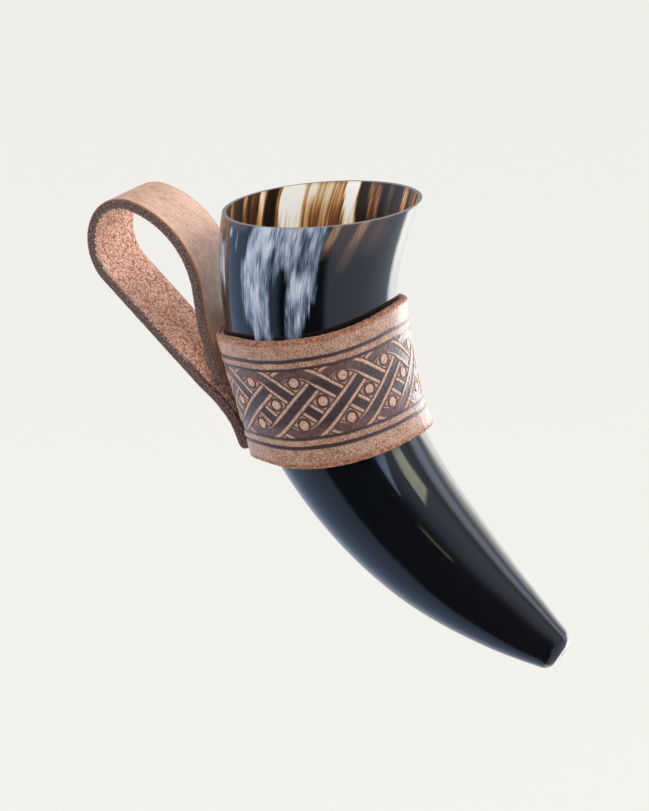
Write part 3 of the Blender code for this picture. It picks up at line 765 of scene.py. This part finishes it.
def make_band():
    surface = BandSurface()
    lining = BandSurface(LINING_FILL)
    section = band_section()
    stations = band_stations()
    turn = np.repeat(stations[:, :1], len(section), 1)
    low, high = stations[:, 1:2], stations[:, 2:3]
    drop, share, face = (np.repeat(section[None, :, k], len(stations), 0) for k in range(3))
    outside = (face > 0.5) & (high >= BAND_THICKNESS)
    edge = 1 - np.abs(face)
    stain, depth, worn, proud, sunk = tooling(turn, drop)
    relief = (depth + layered_noise(turn, drop, BAND_GRAIN)) * outside
    inner = surface.inner_radius(turn, drop)
    slack = inner - lining.inner_radius(turn, drop)
    radius = inner + (high - low) * share + low - relief - slack * (1 - share)
    degrees = np.degrees(turn) % 360
    ride_turns = (BAND_RIDE_TURN, 360 - BAND_RIDE_TURN)
    ride = BAND_RIDE * sum(bell(degrees, place, BAND_RIDE_SPREAD) for place in ride_turns)
    fray = EDGE_FRAY * edge * (noise(turn * 40, drop * 2, share * 6, 24) - 0.5)
    points = surface.point(turn, drop + band_edge_shift(turn, drop) - ride + fray, radius)
    top_burnish = fall(drop, BAND_BURNISH, BURNISH_RUN)
    burnt = np.maximum(top_burnish, rise(drop, BAND_HEIGHT - BAND_BURNISH, BURNISH_RUN))
    attributes = {
        "stain": stain * outside,
        "edge": np.maximum(edge, BURNISH_STRENGTH * burnt * outside),
        "lining": face < -0.5,
        "worn": worn,
        "polish": (POLISH_LEAST + POLISH_MORE * stripe(degrees, *POLISH_STRIPE)) * outside,
        "proud": proud * outside,
        "sunk": sunk * outside,
    }
    return grid_object("tooled_band", points, attributes)


# Strap

def strap_at(along):
    """(drop, height, heading) this far along the strap from its inner end."""
    drop, height, heading = STRAP_START
    for length, turn in STRAP_STRETCHES:
        run = min(along, length)
        half = math.radians(turn * run / length) / 2
        chord = run * (math.sin(half) / half if abs(half) > TINY else 1)
        middle = math.radians(heading) + half
        drop -= chord * math.cos(middle)
        height += chord * math.sin(middle)
        heading += turn * run / length
        along -= run
        if along <= 0:
            break
    return drop, height, heading


def strap_section():
    """(place across, side, face) round the section; face 1 is grain, -1 flesh, 0 cut edge."""
    half = STRAP_WIDTH / 2
    curve = STRAP_EDGE_ROUND
    flat = np.linspace(curve - half, half - curve, int((STRAP_WIDTH - 2 * curve) / STRAP_STEP))
    bend = []
    for near, far in quarter_round(STRAP_ROUND_STEPS)[1:]:
        bend.append((half - curve * far, 1 - 2 * curve / STRAP_THICKNESS * near))
    grain = [(y, 1, 1) for y in flat]
    edge = [(y, s, 0) for y, s in bend]
    edge += [(half, s, 0) for s in np.linspace(bend[-1][1], -bend[-1][1], STRAP_ROUND_STEPS)[1:-1]]
    edge += [(y, -s, 0) for y, s in reversed(bend)]
    flesh = [(y, -1, -1) for y in reversed(flat)]
    other = [(-y, s, f) for y, s, f in reversed(edge)]
    return np.array(grain + edge + flesh + other)


def strap_places(length):
    ends = STRAP_CORNER * np.array(quarter_round(CORNER_STEPS))[:, 0]
    middle = np.linspace(STRAP_CORNER, length - STRAP_CORNER, int(length / STRAP_STEP))
    return np.concatenate((ends[:-1], middle, length - ends[:-1][::-1]))


def strap_cup(places, height, length):
    """How sharply the strap is cupped across its width to lie against the band."""
    inner = INNER_CUP * fall(places, STRAP_START[0] + CUP_ABOVE_BAND, CUP_EASE)
    tail = TAIL_CUP * rise(places, length - TAIL_FLAT - CUP_EASE, CUP_EASE)
    cup = (inner - tail) / (SEAT_RADIUS + height)
    return np.where(np.abs(cup) < TINY, TINY, cup)


def strap_lift(along, sideways, side, face, half, length, nap):
    """How far each point stands off the strap's middle surface."""
    out = np.abs(sideways)
    skive = SKIVE_DEPTH * np.maximum(1 - along / SKIVE_LENGTH, 0)
    flesh = skive + NAP_DEPTH * nap * fall(out, half, NAP_EDGE)
    pebble = layered_noise(along, sideways, STRAP_PEBBLE)
    press = TAIL_PRESS * rise(along, length - TAIL_PRESS_LENGTH, TAIL_PRESS_RUN)
    press = press * rise(out, TAIL_PRESS_SIDE, TAIL_PRESS_SIDE)
    blunt = np.clip((along - length) / TAIL_ROUND + 1, 0, 1)
    rounded = TAIL_ROUND_DEPTH * (1 - np.sqrt(1 - blunt**2)) * (side + 1) / 2
    lift = side * STRAP_THICKNESS / 2 - press - rounded
    return lift + np.where(face < -0.5, flesh, 0) - np.where(face > 0.5, pebble, 0)


def make_strap():
    length = sum(run for run, _ in STRAP_STRETCHES)
    places = strap_places(length)
    path = np.array([strap_at(s) for s in places])
    section = strap_section()
    along = np.repeat(places[:, None], len(section), 1)
    sideways, side, face = (np.repeat(section[None, :, k], len(places), 0) for k in range(3))
    drop, height, heading = (path[:, k:k + 1] for k in range(3))
    angle = np.radians(heading)
    seat_down, seat_out = np.array(SEAT_DOWN), np.array(SEAT_OUT)
    outside = (seat_down * -np.sin(angle) - seat_out * np.cos(angle))[:, None, :]
    centre = (np.array(SEAT_ORIGIN) + seat_down * drop + seat_out * height)[:, None, :]
    cut = np.maximum(STRAP_CORNER - np.minimum(along, length - along), 0)
    inset = STRAP_CORNER - np.sqrt(np.maximum(STRAP_CORNER**2 - cut**2, 0))
    half = STRAP_WIDTH / 2 - inset
    sideways = sideways * half / (STRAP_WIDTH / 2)
    cup = strap_cup(places, path[:, 1], length)[:, None]
    bend = sideways * cup
    edge = 1 - np.abs(face)
    nap = rise(layered_noise(along, sideways, STRAP_NAP), 0.2, 0.6)
    lift = strap_lift(along, sideways, side, face, half, length, nap)
    ragged = EDGE_RAGGEDNESS * (noise(along * 0.9, side * 2.5, 3, 35) - 0.5) * edge
    shift = np.sin(bend) / cup + ragged * np.sign(sideways)
    arch = (1 - np.cos(bend)) / cup
    points = centre + ACROSS * shift[..., None] + outside * arch[..., None]
    points = points + spokes(outside, -bend) * lift[..., None]
    flesh = face < -0.5
    opened = fall(along, length - OPEN_BEFORE_END, OPEN_RUN) * rise(along, OPEN_START, OPEN_RUN)
    attributes = {
        "edge": edge,
        "flesh": flesh,
        "side": side,
        # Painted shade on the suede of the lower run
        "suede_shade": between(along, *SUEDE_SHADE_REACH),
        # Painted shade on the grain side over the crown
        "rubbed_and_shaded": between(along, *CROWN_SHADE_REACH),
        "open": opened,
        # 1 on the nap's tufts and 0 in its hollows, read for painted shade and highlight
        "nap": np.where(flesh, 1 - nap, 0.5),
        "rim": rise(np.abs(sideways) / half, RIM_SHARE, 1 - RIM_SHARE) * (face > 0.5),
        "grain": np.stack((along / 10, sideways / 10, side / 10), -1),
    }
    return grid_object("loop_strap", points, attributes)


# Materials

class Nodes:
    """Short calls for building the nodes of one material or world."""

    def __init__(self, owner):
        owner.use_nodes = True
        self.owner = owner
        self.tree = owner.node_tree

    def feed(self, socket, value):
        if isinstance(value, bpy.types.NodeSocket):
            self.tree.links.new(value, socket)
        else:
            socket.default_value = value

    def add(self, kind, inputs=None, **settings):
        made = self.tree.nodes.new("ShaderNode" + kind)
        for key, value in settings.items():
            setattr(made, key, value)
        for key, value in (inputs or {}).items():
            self.feed(made.inputs[key], value)
        return made

    def attribute(self, name, output="Fac"):
        return self.add("Attribute", attribute_name=name).outputs[output]

    def place(self):
        return self.add("TexCoord").outputs["Object"]

    def scaled(self, vector, scale):
        return self.add("VectorMath", {0: vector, 1: scale}, operation="MULTIPLY").outputs[0]

    def noise(self, vector, scale, detail=2, roughness=0.5, distortion=0):
        inputs = dict(Vector=vector, Scale=scale, Detail=detail, Roughness=roughness, Distortion=distortion)
        return self.add("TexNoise", inputs).outputs["Fac"]

    def cells(self, vector, scale):
        return self.add("TexVoronoi", {"Vector": vector, "Scale": scale}).outputs["Distance"]

    def math(self, operation, a, b=0, clamp=False):
        return self.add("Math", {0: a, 1: b}, operation=operation, use_clamp=clamp).outputs[0]

    def plus(self, a, b, clamp=False):
        return self.math("ADD", a, b, clamp)

    def minus(self, a, b):
        return self.math("SUBTRACT", a, b)

    def times(self, a, b):
        return self.math("MULTIPLY", a, b)

    def mix(self, factor, a, b, blend="MIX"):
        inputs = {0: factor, 6: self.colour(a), 7: self.colour(b)}
        return self.add("Mix", inputs, data_type="RGBA", blend_type=blend).outputs[2]

    def mix_number(self, factor, a, b):
        return self.plus(a, self.times(factor, self.minus(b, a)))

    def mix_shader(self, factor, a, b):
        return self.add("MixShader", {0: factor, 1: a, 2: b}).outputs[0]

    @staticmethod
    def colour(value):
        return (*value, 1) if isinstance(value, tuple) and len(value) == 3 else value

    def ramp(self, factor, stops):
        """Colour looked up in (place, colour) stops."""
        made = self.add("ValToRGB", {"Fac": factor})
        points = made.color_ramp.elements
        while len(points) < len(stops):
            points.new(0.5)
        for point, (place, colour) in zip(points, stops):
            point.position = place
            point.color = self.colour(colour)
        return made.outputs["Color"]

    def span(self, value, low, high, to_low=0, to_high=1):
        inputs = {"Value": value, "From Min": low, "From Max": high, "To Min": to_low, "To Max": to_high}
        return self.add("MapRange", inputs, interpolation_type="SMOOTHSTEP").outputs["Result"]

    def bump(self, height, strength, distance):
        inputs = {"Height": height, "Strength": strength, "Distance": distance}
        return self.add("Bump", inputs).outputs["Normal"]

    def shader(self):
        return self.tree.nodes["Principled BSDF"]

    def finish(self, **sockets):
        """Feeds the main shader's sockets and gives back the material."""
        for key, value in sockets.items():
            self.feed(self.shader().inputs[key.replace("_", " ")], self.colour(value))
        return self.owner


def new_material(name):
    return Nodes(bpy.data.materials.new(name))


HORN_BLACK = (0.0012, 0.0018, 0.0026)
HORN_SMOKE = (0.0042, 0.0050, 0.0064)
HORN_LOWER = (0.0048, 0.0045, 0.0060)
HORN_OLIVE = (0.120, 0.118, 0.088)
HORN_STEEL = (0.085, 0.112, 0.155)
# Painted highlight on the rim's lip
LIP_HIGHLIGHT = (0.165, 0.160, 0.165)
CHIP_GREY = (0.16, 0.145, 0.155)
NO_LIGHT = (0, 0, 0)
HORN_WARM = ((0, (0.004, 0.004, 0.004)), (0.5, (0.056, 0.033, 0.027)), (1, (0.215, 0.130, 0.075)))
HORN_PATCH = (
    (0, (0.006, 0.010, 0.015)), (0.35, (0.046, 0.066, 0.096)), (0.60, (0.158, 0.192, 0.256)),
    (0.80, (0.290, 0.325, 0.398)), (1, (0.465, 0.490, 0.555)),
)
HORN_INSIDE = (
    (0.08, (0.006, 0.004, 0.003)), (0.27, (0.030, 0.014, 0.007)), (0.42, (0.130, 0.050, 0.016)),
    (0.54, (0.37, 0.165, 0.055)), (0.64, (0.44, 0.295, 0.150)), (0.78, (0.60, 0.52, 0.385)),
    (0.92, (0.70, 0.685, 0.645)),
)
HORN_IOR = 1.55
LEATHER_IOR = 1.45
# Painted glow, as emission, for light that comes through the thin wall into the mouth
WALL_GLOW = 0.30


def horn_patch(n, fibres, hairs, clouds):
    """How much of the pale patch shows, frayed along the fibres."""
    pale = n.attribute("pale")
    ragged = n.plus(n.plus(n.times(fibres, 0.6), n.times(clouds, 0.8)), n.times(hairs, 0.8))
    return n.times(n.span(n.plus(pale, n.minus(ragged, 1.08)), 0.12, 1.08), n.span(pale, 0.02, 0.25))


def horn_outside(n, patch, fibres, clouds):
    """Black horn with brown light near the rim, olive and grey streaks below, and the pale patch."""
    body = n.mix(clouds, HORN_BLACK, HORN_SMOKE)
    lower = n.times(n.attribute("lower"), n.span(fibres, 0.3, 0.6, 0.6, 1))
    body = n.mix(lower, body, HORN_LOWER)
    brown = n.times(n.attribute("brown"), n.span(fibres, 0.32, 0.62, 0.8, 1))
    body = n.mix(n.span(brown, 0, 0.15), body, n.ramp(brown, HORN_WARM))
    olive = n.times(n.attribute("olive"), n.span(fibres, 0.15, 0.60, 0.45, 1))
    body = n.mix(olive, body, HORN_OLIVE)
    body = n.mix(n.attribute("steel"), body, HORN_STEEL)
    return n.mix(n.span(patch, 0.02, 0.30), body, n.ramp(patch, HORN_PATCH))


def horn_inside(n, grain):
    """Dark brown to amber to cream, by lightness."""
    jitter = n.minus(n.noise(n.scaled(grain, (1, 1, 0.035)), 13, 4, 0.62), 0.5)
    return n.ramp(n.plus(n.attribute("light"), n.times(jitter, 0.85)), HORN_INSIDE)


def horn_material():
    n = new_material("streaked_horn")
    grain = n.attribute("grain", "Vector")
    fibres = n.noise(n.scaled(grain, (1, 1, 0.040)), 16, 3, 0.65)
    hairs = n.noise(n.scaled(grain, (1, 1, 0.036)), 52, 2, 0.60)
    clouds = n.noise(n.scaled(grain, (1, 1, 0.25)), 4, 1.5, 0.5)
    patch = horn_patch(n, fibres, hairs, clouds)
    inner = horn_inside(n, grain)
    inside = n.span(n.attribute("inside"), 0.5, 0.9)
    tip = n.attribute("tip")
    chipped = n.span(n.noise(grain, 30, 3), 0.45, 0.62)
    colour = n.mix(inside, horn_outside(n, patch, fibres, clouds), inner)
    # Painted highlight along the rim's lip
    colour = n.mix(n.times(n.attribute("lip"), 0.75), colour, LIP_HIGHLIGHT)
    colour = n.mix(n.times(tip, chipped), colour, CHIP_GREY)
    rough = n.plus(n.times(patch, 0.12), n.span(hairs, 0.3, 0.8, 0.05, 0.09))
    rough = n.plus(rough, n.times(n.plus(tip, inside), 0.25))
    scratches = n.noise(n.scaled(grain, (1, 1, 0.02)), 110, 2)
    return n.finish(
        Base_Color=colour, Roughness=rough, Normal=n.bump(scratches, 0.04, 0.0002), IOR=HORN_IOR,
        # Painted glow inside the mouth
        Emission_Color=n.mix(inside, NO_LIGHT, inner), Emission_Strength=WALL_GLOW,
    )


TAN = (0.240, 0.122, 0.074)
TAN_PALE = (0.430, 0.252, 0.176)
TAN_WARM = (0.140, 0.060, 0.032)
TAN_PROUD = (0.515, 0.315, 0.226)
TAN_SUNK = (0.310, 0.160, 0.108)
STAIN_DARK = (0.037, 0.019, 0.020)
STAIN_BROWN = (0.130, 0.054, 0.040)
BAND_CUT = ((0.34, (0.100, 0.032, 0.014)), (0.50, (0.235, 0.090, 0.046)), (0.66, (0.40, 0.190, 0.112)))
BAND_LINING = ((0.30, (0.16, 0.075, 0.048)), (0.70, (0.42, 0.24, 0.165)))


def band_face(n, place, speck, pores):
    """Mottled tan, paler on the raised tooling and darker in pores and hollows."""
    mottle = n.noise(place, 190, 4, 0.65)
    leather = n.ramp(mottle, ((0.28, TAN_WARM), (0.45, TAN), (0.72, TAN_PALE)))
    leather = n.mix(n.times(n.attribute("proud"), 0.75), leather, TAN_PROUD)
    leather = n.mix(n.times(n.attribute("sunk"), 0.75), leather, TAN_SUNK)
    leather = n.mix(n.span(speck, 0.50, 0.58, 0, 0.90), leather, TAN_PALE)
    leather = n.mix(n.span(speck, 0.48, 0.40, 0, 0.90), leather, TAN_WARM)
    return n.mix(n.span(pores, 0, 0.25, 0.35, 0), leather, TAN_WARM)


def band_material():
    n = new_material("tooled_leather")
    place = n.place()
    speck = n.noise(place, 1800, 4, 0.70)
    pores = n.cells(place, 2000)
    wear = n.noise(place, 800, 4, 0.65)
    fibre = n.noise(place, 1000, 3, 0.7)
    edge = n.attribute("edge")
    rubbed_and_shaded = n.plus(n.times(n.attribute("worn"), 0.22), n.times(wear, 0.65))
    dark = n.mix(n.span(rubbed_and_shaded, 0.32, 0.72), STAIN_DARK, STAIN_BROWN)
    stain = n.times(n.attribute("stain"), n.span(speck, 0.20, 0.42, 0.80, 1))
    colour = n.mix(stain, band_face(n, place, speck, pores), dark)
    colour = n.mix(n.span(n.plus(edge, fibre), 0.75, 1), colour, n.ramp(fibre, BAND_CUT))
    colour = n.mix(n.attribute("lining"), colour, n.ramp(fibre, BAND_LINING))
    rough = n.minus(n.span(speck, 0.2, 0.8, 0.42, 0.56), n.times(stain, 0.12))
    rough = n.plus(rough, n.times(edge, 0.3), clamp=True)
    height = n.plus(n.times(speck, 0.9), n.times(pores, 0.7))
    return n.finish(
        Base_Color=colour, Roughness=rough, Normal=n.bump(height, 0.8, 0.0004), IOR=LEATHER_IOR,
        Sheen_Weight=0.20, Sheen_Roughness=0.4, Coat_Weight=n.attribute("polish"), Coat_Roughness=0.24,
    )


SKIN = ((0.32, (0.470, 0.240, 0.143)), (0.50, (0.605, 0.350, 0.240)), (0.68, (0.690, 0.432, 0.317)))
SKIN_PALE = (0.765, 0.495, 0.374)
SKIN_DARK = (0.440, 0.218, 0.130)
SKIN_SPECK = (0.395, 0.196, 0.117)
SKIN_RIM = (0.330, 0.130, 0.060)
SKIN_CROWN_SHADE = (0.84, 0.83, 0.81)
# Suede colours by the nap: random tone, with painted shade in the nap's hollows and painted highlight on its
# tufts
SUEDE = (
    (0.12, (0.180, 0.068, 0.038)), (0.36, (0.570, 0.285, 0.198)), (0.60, (0.810, 0.475, 0.355)),
    (0.82, (1, 0.810, 0.680)),
)
# Painted shade multiplied into the suede
SUEDE_SHADE = (0.76, 0.75, 0.75)
STRAP_CUT = ((0.34, (0.016, 0.009, 0.008)), (0.50, (0.074, 0.041, 0.034)), (0.62, (0.270, 0.155, 0.122)))
CUT_RIM = (0.300, 0.115, 0.050)


def strap_skin(n, grain, speck):
    """Smooth grain side: mottled, streaked along the strap, with painted shade over the crown, dark at its
    rim.
    """
    mottle = n.noise(grain, 1.5, 4, 0.6, 0.6)
    streak = n.noise(n.scaled(grain, (0.3, 1, 1)), 15, 3, 0.65)
    skin = n.ramp(mottle, SKIN)
    skin = n.mix(n.span(streak, 0.50, 0.64, 0, 0.60), skin, SKIN_PALE)
    skin = n.mix(n.span(streak, 0.48, 0.34, 0, 0.55), skin, SKIN_DARK)
    skin = n.mix(n.span(speck, 0.50, 0.64, 0, 0.70), skin, SKIN_SPECK)
    # Painted shade darkens the grain side over the crown
    skin = n.mix(n.attribute("rubbed_and_shaded"), skin, SKIN_CROWN_SHADE, "MULTIPLY")
    return n.mix(n.times(n.attribute("rim"), 0.85), skin, SKIN_RIM)


def strap_cut(n, grain, fluff, suede):
    """Burnished cut edge, with suede fluff over its inner side and a reddish outer rim."""
    side = n.attribute("side")
    burnish = n.noise(n.scaled(grain, (1, 1, 2)), 16, 4, 0.72)
    inner_side = n.span(n.plus(side, n.times(fluff, -2)), -1.70, -2.00)
    fringe = n.times(inner_side, n.attribute("open"))
    edge = n.mix(n.times(fringe, 0.85), n.ramp(burnish, STRAP_CUT), suede)
    return n.mix(n.span(side, 0.72, 0.95), edge, CUT_RIM)


def strap_material():
    n = new_material("strap_leather")
    grain = n.attribute("grain", "Vector")
    flesh, edge = n.attribute("flesh"), n.attribute("edge")
    speck = n.noise(grain, 26, 3, 0.65)
    fluff = n.noise(grain, 22, 3, 0.7)
    # Nap colour mixes random fluff with painted shade in the hollows and painted highlight on the tufts
    nap = n.plus(n.times(n.attribute("nap"), 0.45), n.times(n.span(fluff, 0.38, 0.62), 0.55))
    # Painted shade darkens the suede along the lower run
    suede = n.mix(n.attribute("suede_shade"), n.ramp(nap, SUEDE), SUEDE_SHADE, "MULTIPLY")
    colour = n.mix(flesh, strap_skin(n, grain, speck), suede)
    colour = n.mix(edge, colour, strap_cut(n, grain, fluff, suede))
    rough = n.plus(n.span(speck, 0.2, 0.8, 0.50, 0.62), n.times(flesh, 0.3), clamp=True)
    height = n.plus(n.times(speck, 0.8), n.times(n.cells(grain, 24), 0.6))
    polish = n.times(n.minus(1, n.math("MAXIMUM", flesh, edge)), 0.6)
    return n.finish(
        Base_Color=colour, Roughness=rough, Normal=n.bump(height, 1, 0.0005), IOR=LEATHER_IOR,
        Coat_Weight=polish, Coat_Roughness=0.36,
    )


BRASS = ((0.30, (0.20, 0.080, 0.028)), (0.50, (0.62, 0.315, 0.110)), (0.74, (0.90, 0.53, 0.21)))


def brass_material():
    n = new_material("antique_brass")
    place = n.place()
    wear = n.noise(place, 700, 4, 0.6)
    scuffs = n.noise(n.scaled(place, (1, 6, 1)), 1500, 2)
    return n.finish(
        Base_Color=n.ramp(wear, BRASS), Roughness=n.span(scuffs, 0.3, 0.7, 0.26, 0.46), Metallic=1,
        Normal=n.bump(scuffs, 0.15, 0.0002),
    )


# Stage, in metres

PALE = (0.871, 0.863, 0.823)
AMBIENT = (0.86, 0.86, 0.87)
FLOOR_HEIGHT = -0.45
FLOOR_SIZE = 6.0
FLOOR_GLOW = 0.94
# Lights as (name, place, aim, size, power)
LIGHTS = (
    ("key", (0.62, -0.80, 0.72), (0.06, 0, -0.06), (0.8, 0.8), 5.2),
    ("top", (0.66, -0.12, 0.98), (0.03, 0, -0.03), (0.7, 0.7), 4.5),
    ("left", (-1.05, -0.30, 0.25), (0.06, 0, -0.06), (0.6, 0.9), 9.5),
    ("right", (0.95, 0.62, 0.15), (0.08, 0, -0.06), (0.6, 0.9), 12),
)

# Studio that polished horn mirrors, as (azimuth from the near side, light level) above and below the horizon:
# a dark strip before the horn, pale walls at its sides and bright panels behind it
STUDIO_ABOVE = (
    (-180, 2.2), (-174, 1.2), (-166, 0.45), (-140, 0.35), (-119, 0.8), (-100, 0.95), (-60, 0.8), (-16, 0.62),
    (-13, 0.012), (42, 0.012), (52, 0.14), (62, 0.55), (88, 0.80), (104, 0.80), (108, 0.55), (121, 0.55),
    (124, 2.3), (138, 2.4), (143, 1), (150, 1), (154, 1.6), (160, 2.2), (180, 2.2),
)
STUDIO_BELOW = (
    (-180, 2.4), (-172, 1.8), (-160, 1.15), (-150, 0.95), (-135, 1), (-119, 1.05), (-105, 1), (-60, 0.8),
    (-19, 0.62), (-16, 0.012), (43, 0.012), (47, 0.80), (90, 0.84), (126, 1), (146, 1.1), (148.5, 5.4),
    (160, 4.5), (168, 3.4), (174, 2.9), (180, 2.4),
)
STUDIO_TINTS = (
    (-180, (1, 1, 0.97)), (-150, (1, 1, 1)), (-135, (0.90, 0.93, 1.05)), (-119, (0.78, 0.86, 1.12)),
    (-95, (0.54, 0.76, 1.13)), (-20, (0.54, 0.76, 1.13)), (40, (0.74, 0.85, 1.05)), (100, (0.80, 0.88, 1.03)),
    (146, (0.80, 0.91, 1.10)), (156, (1, 1, 0.98)), (180, (1, 1, 0.97)),
)
STUDIO_TOP_LEVEL = 6.0
# Where the studio changes, as (from, to): round to the back in radians, and by height at the sides and back
BACK = (2.40, 2.55)
HORIZON = (-0.22, 0.12)
BACK_HORIZON = (0.06, 0.15)
# Panels below the horizon on the right lean, from this depth down and over this azimuth in radians
PANEL_LEAN = 1.4
PANEL_LEAN_DEPTH = 23.0
PANEL_LEAN_SIDE = (1, 2)


def make_floor():
    size = FLOOR_SIZE
    corners = [(x, y, FLOOR_HEIGHT) for x, y in ((-size, -size), (size, -size), (size, size), (-size, size))]
    mesh = bpy.data.meshes.new("floor")
    mesh.from_pydata(corners, [], [(0, 1, 2, 3)])
    floor = add_object("floor", mesh)
    n = new_material("pale_floor")
    n.finish(Base_Color=PALE, Roughness=0.9)
    lit = n.shader().outputs[0]
    glow = n.add("Emission", {"Color": n.colour(PALE), "Strength": 1}).outputs[0]
    clear = n.add("BsdfTransparent").outputs[0]
    ray = n.add("LightPath").outputs
    seen = n.mix_shader(ray["Is Camera Ray"], lit, n.mix_shader(FLOOR_GLOW, lit, glow))
    mirrored = n.math("MAXIMUM", ray["Is Glossy Ray"], ray["Is Transmission Ray"])
    out = n.mix_shader(mirrored, seen, clear)
    n.tree.links.new(out, n.tree.nodes["Material Output"].inputs["Surface"])
    mesh.materials.append(n.owner)


def studio_stop(azimuth):
    return azimuth / 360 + 0.5


def studio_place(n, azimuth):
    return n.plus(n.math("DIVIDE", azimuth, 2 * math.pi), 0.5)


def studio_level(n, azimuth, stops):
    """Light level looked up by azimuth."""
    shades = [(studio_stop(a), (level / STUDIO_TOP_LEVEL,) * 3) for a, level in stops]
    return n.times(n.ramp(studio_place(n, azimuth), shades), STUDIO_TOP_LEVEL)


def studio_background(n):
    """The studio by direction: its panels' levels above and below the horizon, and their tints."""
    way = n.add("TexCoord").outputs["Generated"]
    x, y, z = n.add("SeparateXYZ", {0: way}).outputs
    azimuth = n.math("ARCTAN2", x, n.times(y, -1))
    rising = n.mix_number(n.span(azimuth, *BACK), n.span(z, *HORIZON), n.span(z, *BACK_HORIZON))
    depth = n.plus(n.math("ARCSINE", z), math.radians(PANEL_LEAN_DEPTH))
    leaning = n.plus(azimuth, n.times(n.math("MINIMUM", depth, 0), PANEL_LEAN))
    leaned = n.mix_number(n.span(azimuth, *PANEL_LEAN_SIDE), azimuth, leaning)
    above = studio_level(n, azimuth, STUDIO_ABOVE)
    below = studio_level(n, leaned, STUDIO_BELOW)
    tints = [(studio_stop(a), colour) for a, colour in STUDIO_TINTS]
    return background(n, n.ramp(studio_place(n, azimuth), tints), n.mix_number(rising, below, above))


def background(n, colour, strength=1):
    return n.add("Background", {"Color": n.colour(colour), "Strength": strength}).outputs[0]


def make_world():
    """Pale to the camera, a studio to polished surfaces and plain light to the rest."""
    n = Nodes(bpy.data.worlds.new("studio"))
    bpy.context.scene.world = n.owner
    n.tree.nodes.clear()
    ray = n.add("LightPath").outputs
    light = n.mix_shader(ray["Is Glossy Ray"], background(n, AMBIENT), studio_background(n))
    shown = n.mix_shader(ray["Is Camera Ray"], light, background(n, PALE))
    n.tree.links.new(shown, n.add("OutputWorld").inputs["Surface"])


def area_light(name, place, aim, size, power):
    data = bpy.data.lights.new(name, "AREA")
    data.shape = "RECTANGLE"
    data.size, data.size_y = size
    data.energy = power
    lamp = add_object(name, data)
    lamp.location = place
    lamp.rotation_euler = (Vector(aim) - Vector(place)).to_track_quat("-Z", "Y").to_euler()
    lamp.visible_camera = False
    lamp.visible_glossy = False


def make_camera():
    azimuth, elevation = math.radians(CAMERA_AZIMUTH), math.radians(CAMERA_ELEVATION)
    flat = math.cos(elevation)
    view = Vector((math.sin(azimuth) * flat, -math.cos(azimuth) * flat, math.sin(elevation)))
    right = Vector((math.cos(azimuth), math.sin(azimuth), 0))
    up = view.cross(right)
    aim = Vector(MOUTH_CENTRE) + Vector(AIM_FROM_MOUTH)
    eye = (aim + view * CAMERA_DISTANCE) * MM
    look = view * -FOCAL_PIXELS - right * AIM_PIXELS_LEFT + up * AIM_PIXELS_UP
    data = bpy.data.cameras.new("photo_camera")
    data.sensor_fit = "HORIZONTAL"
    data.sensor_width = SENSOR
    data.lens = look.length / IMAGE_WIDTH * SENSOR
    data.clip_start = 0.01
    camera = add_object("photo_camera", data)
    back = -look.normalized()
    across = (right - back * right.dot(back)).normalized()
    turn = Matrix((across, back.cross(across), back)).transposed()
    camera.matrix_world = Matrix.Translation(eye) @ turn.to_4x4()
    bpy.context.scene.camera = camera


def main():
    bpy.context.scene.view_settings.view_transform = "Standard"
    pieces = (
        (make_horn(), horn_material(), "horn", "horn", "polished_horn"),
        (make_band(), band_material(), "holder", "holder_band", "tooled_leather"),
        (make_strap(), strap_material(), "holder", "belt_loop_strap", "strap_leather"),
    )
    for piece, material, body, node, slot in pieces:
        piece.data.materials.append(material)
        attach(piece, body)
        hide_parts(node)
    brass = brass_material()
    for name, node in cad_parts.items():
        if "rivet" in name:
            node.data.materials.clear()
            node.data.materials.append(brass)
    make_floor()
    make_world()
    for light in LIGHTS:
        area_light(*light)
    make_camera()


main()
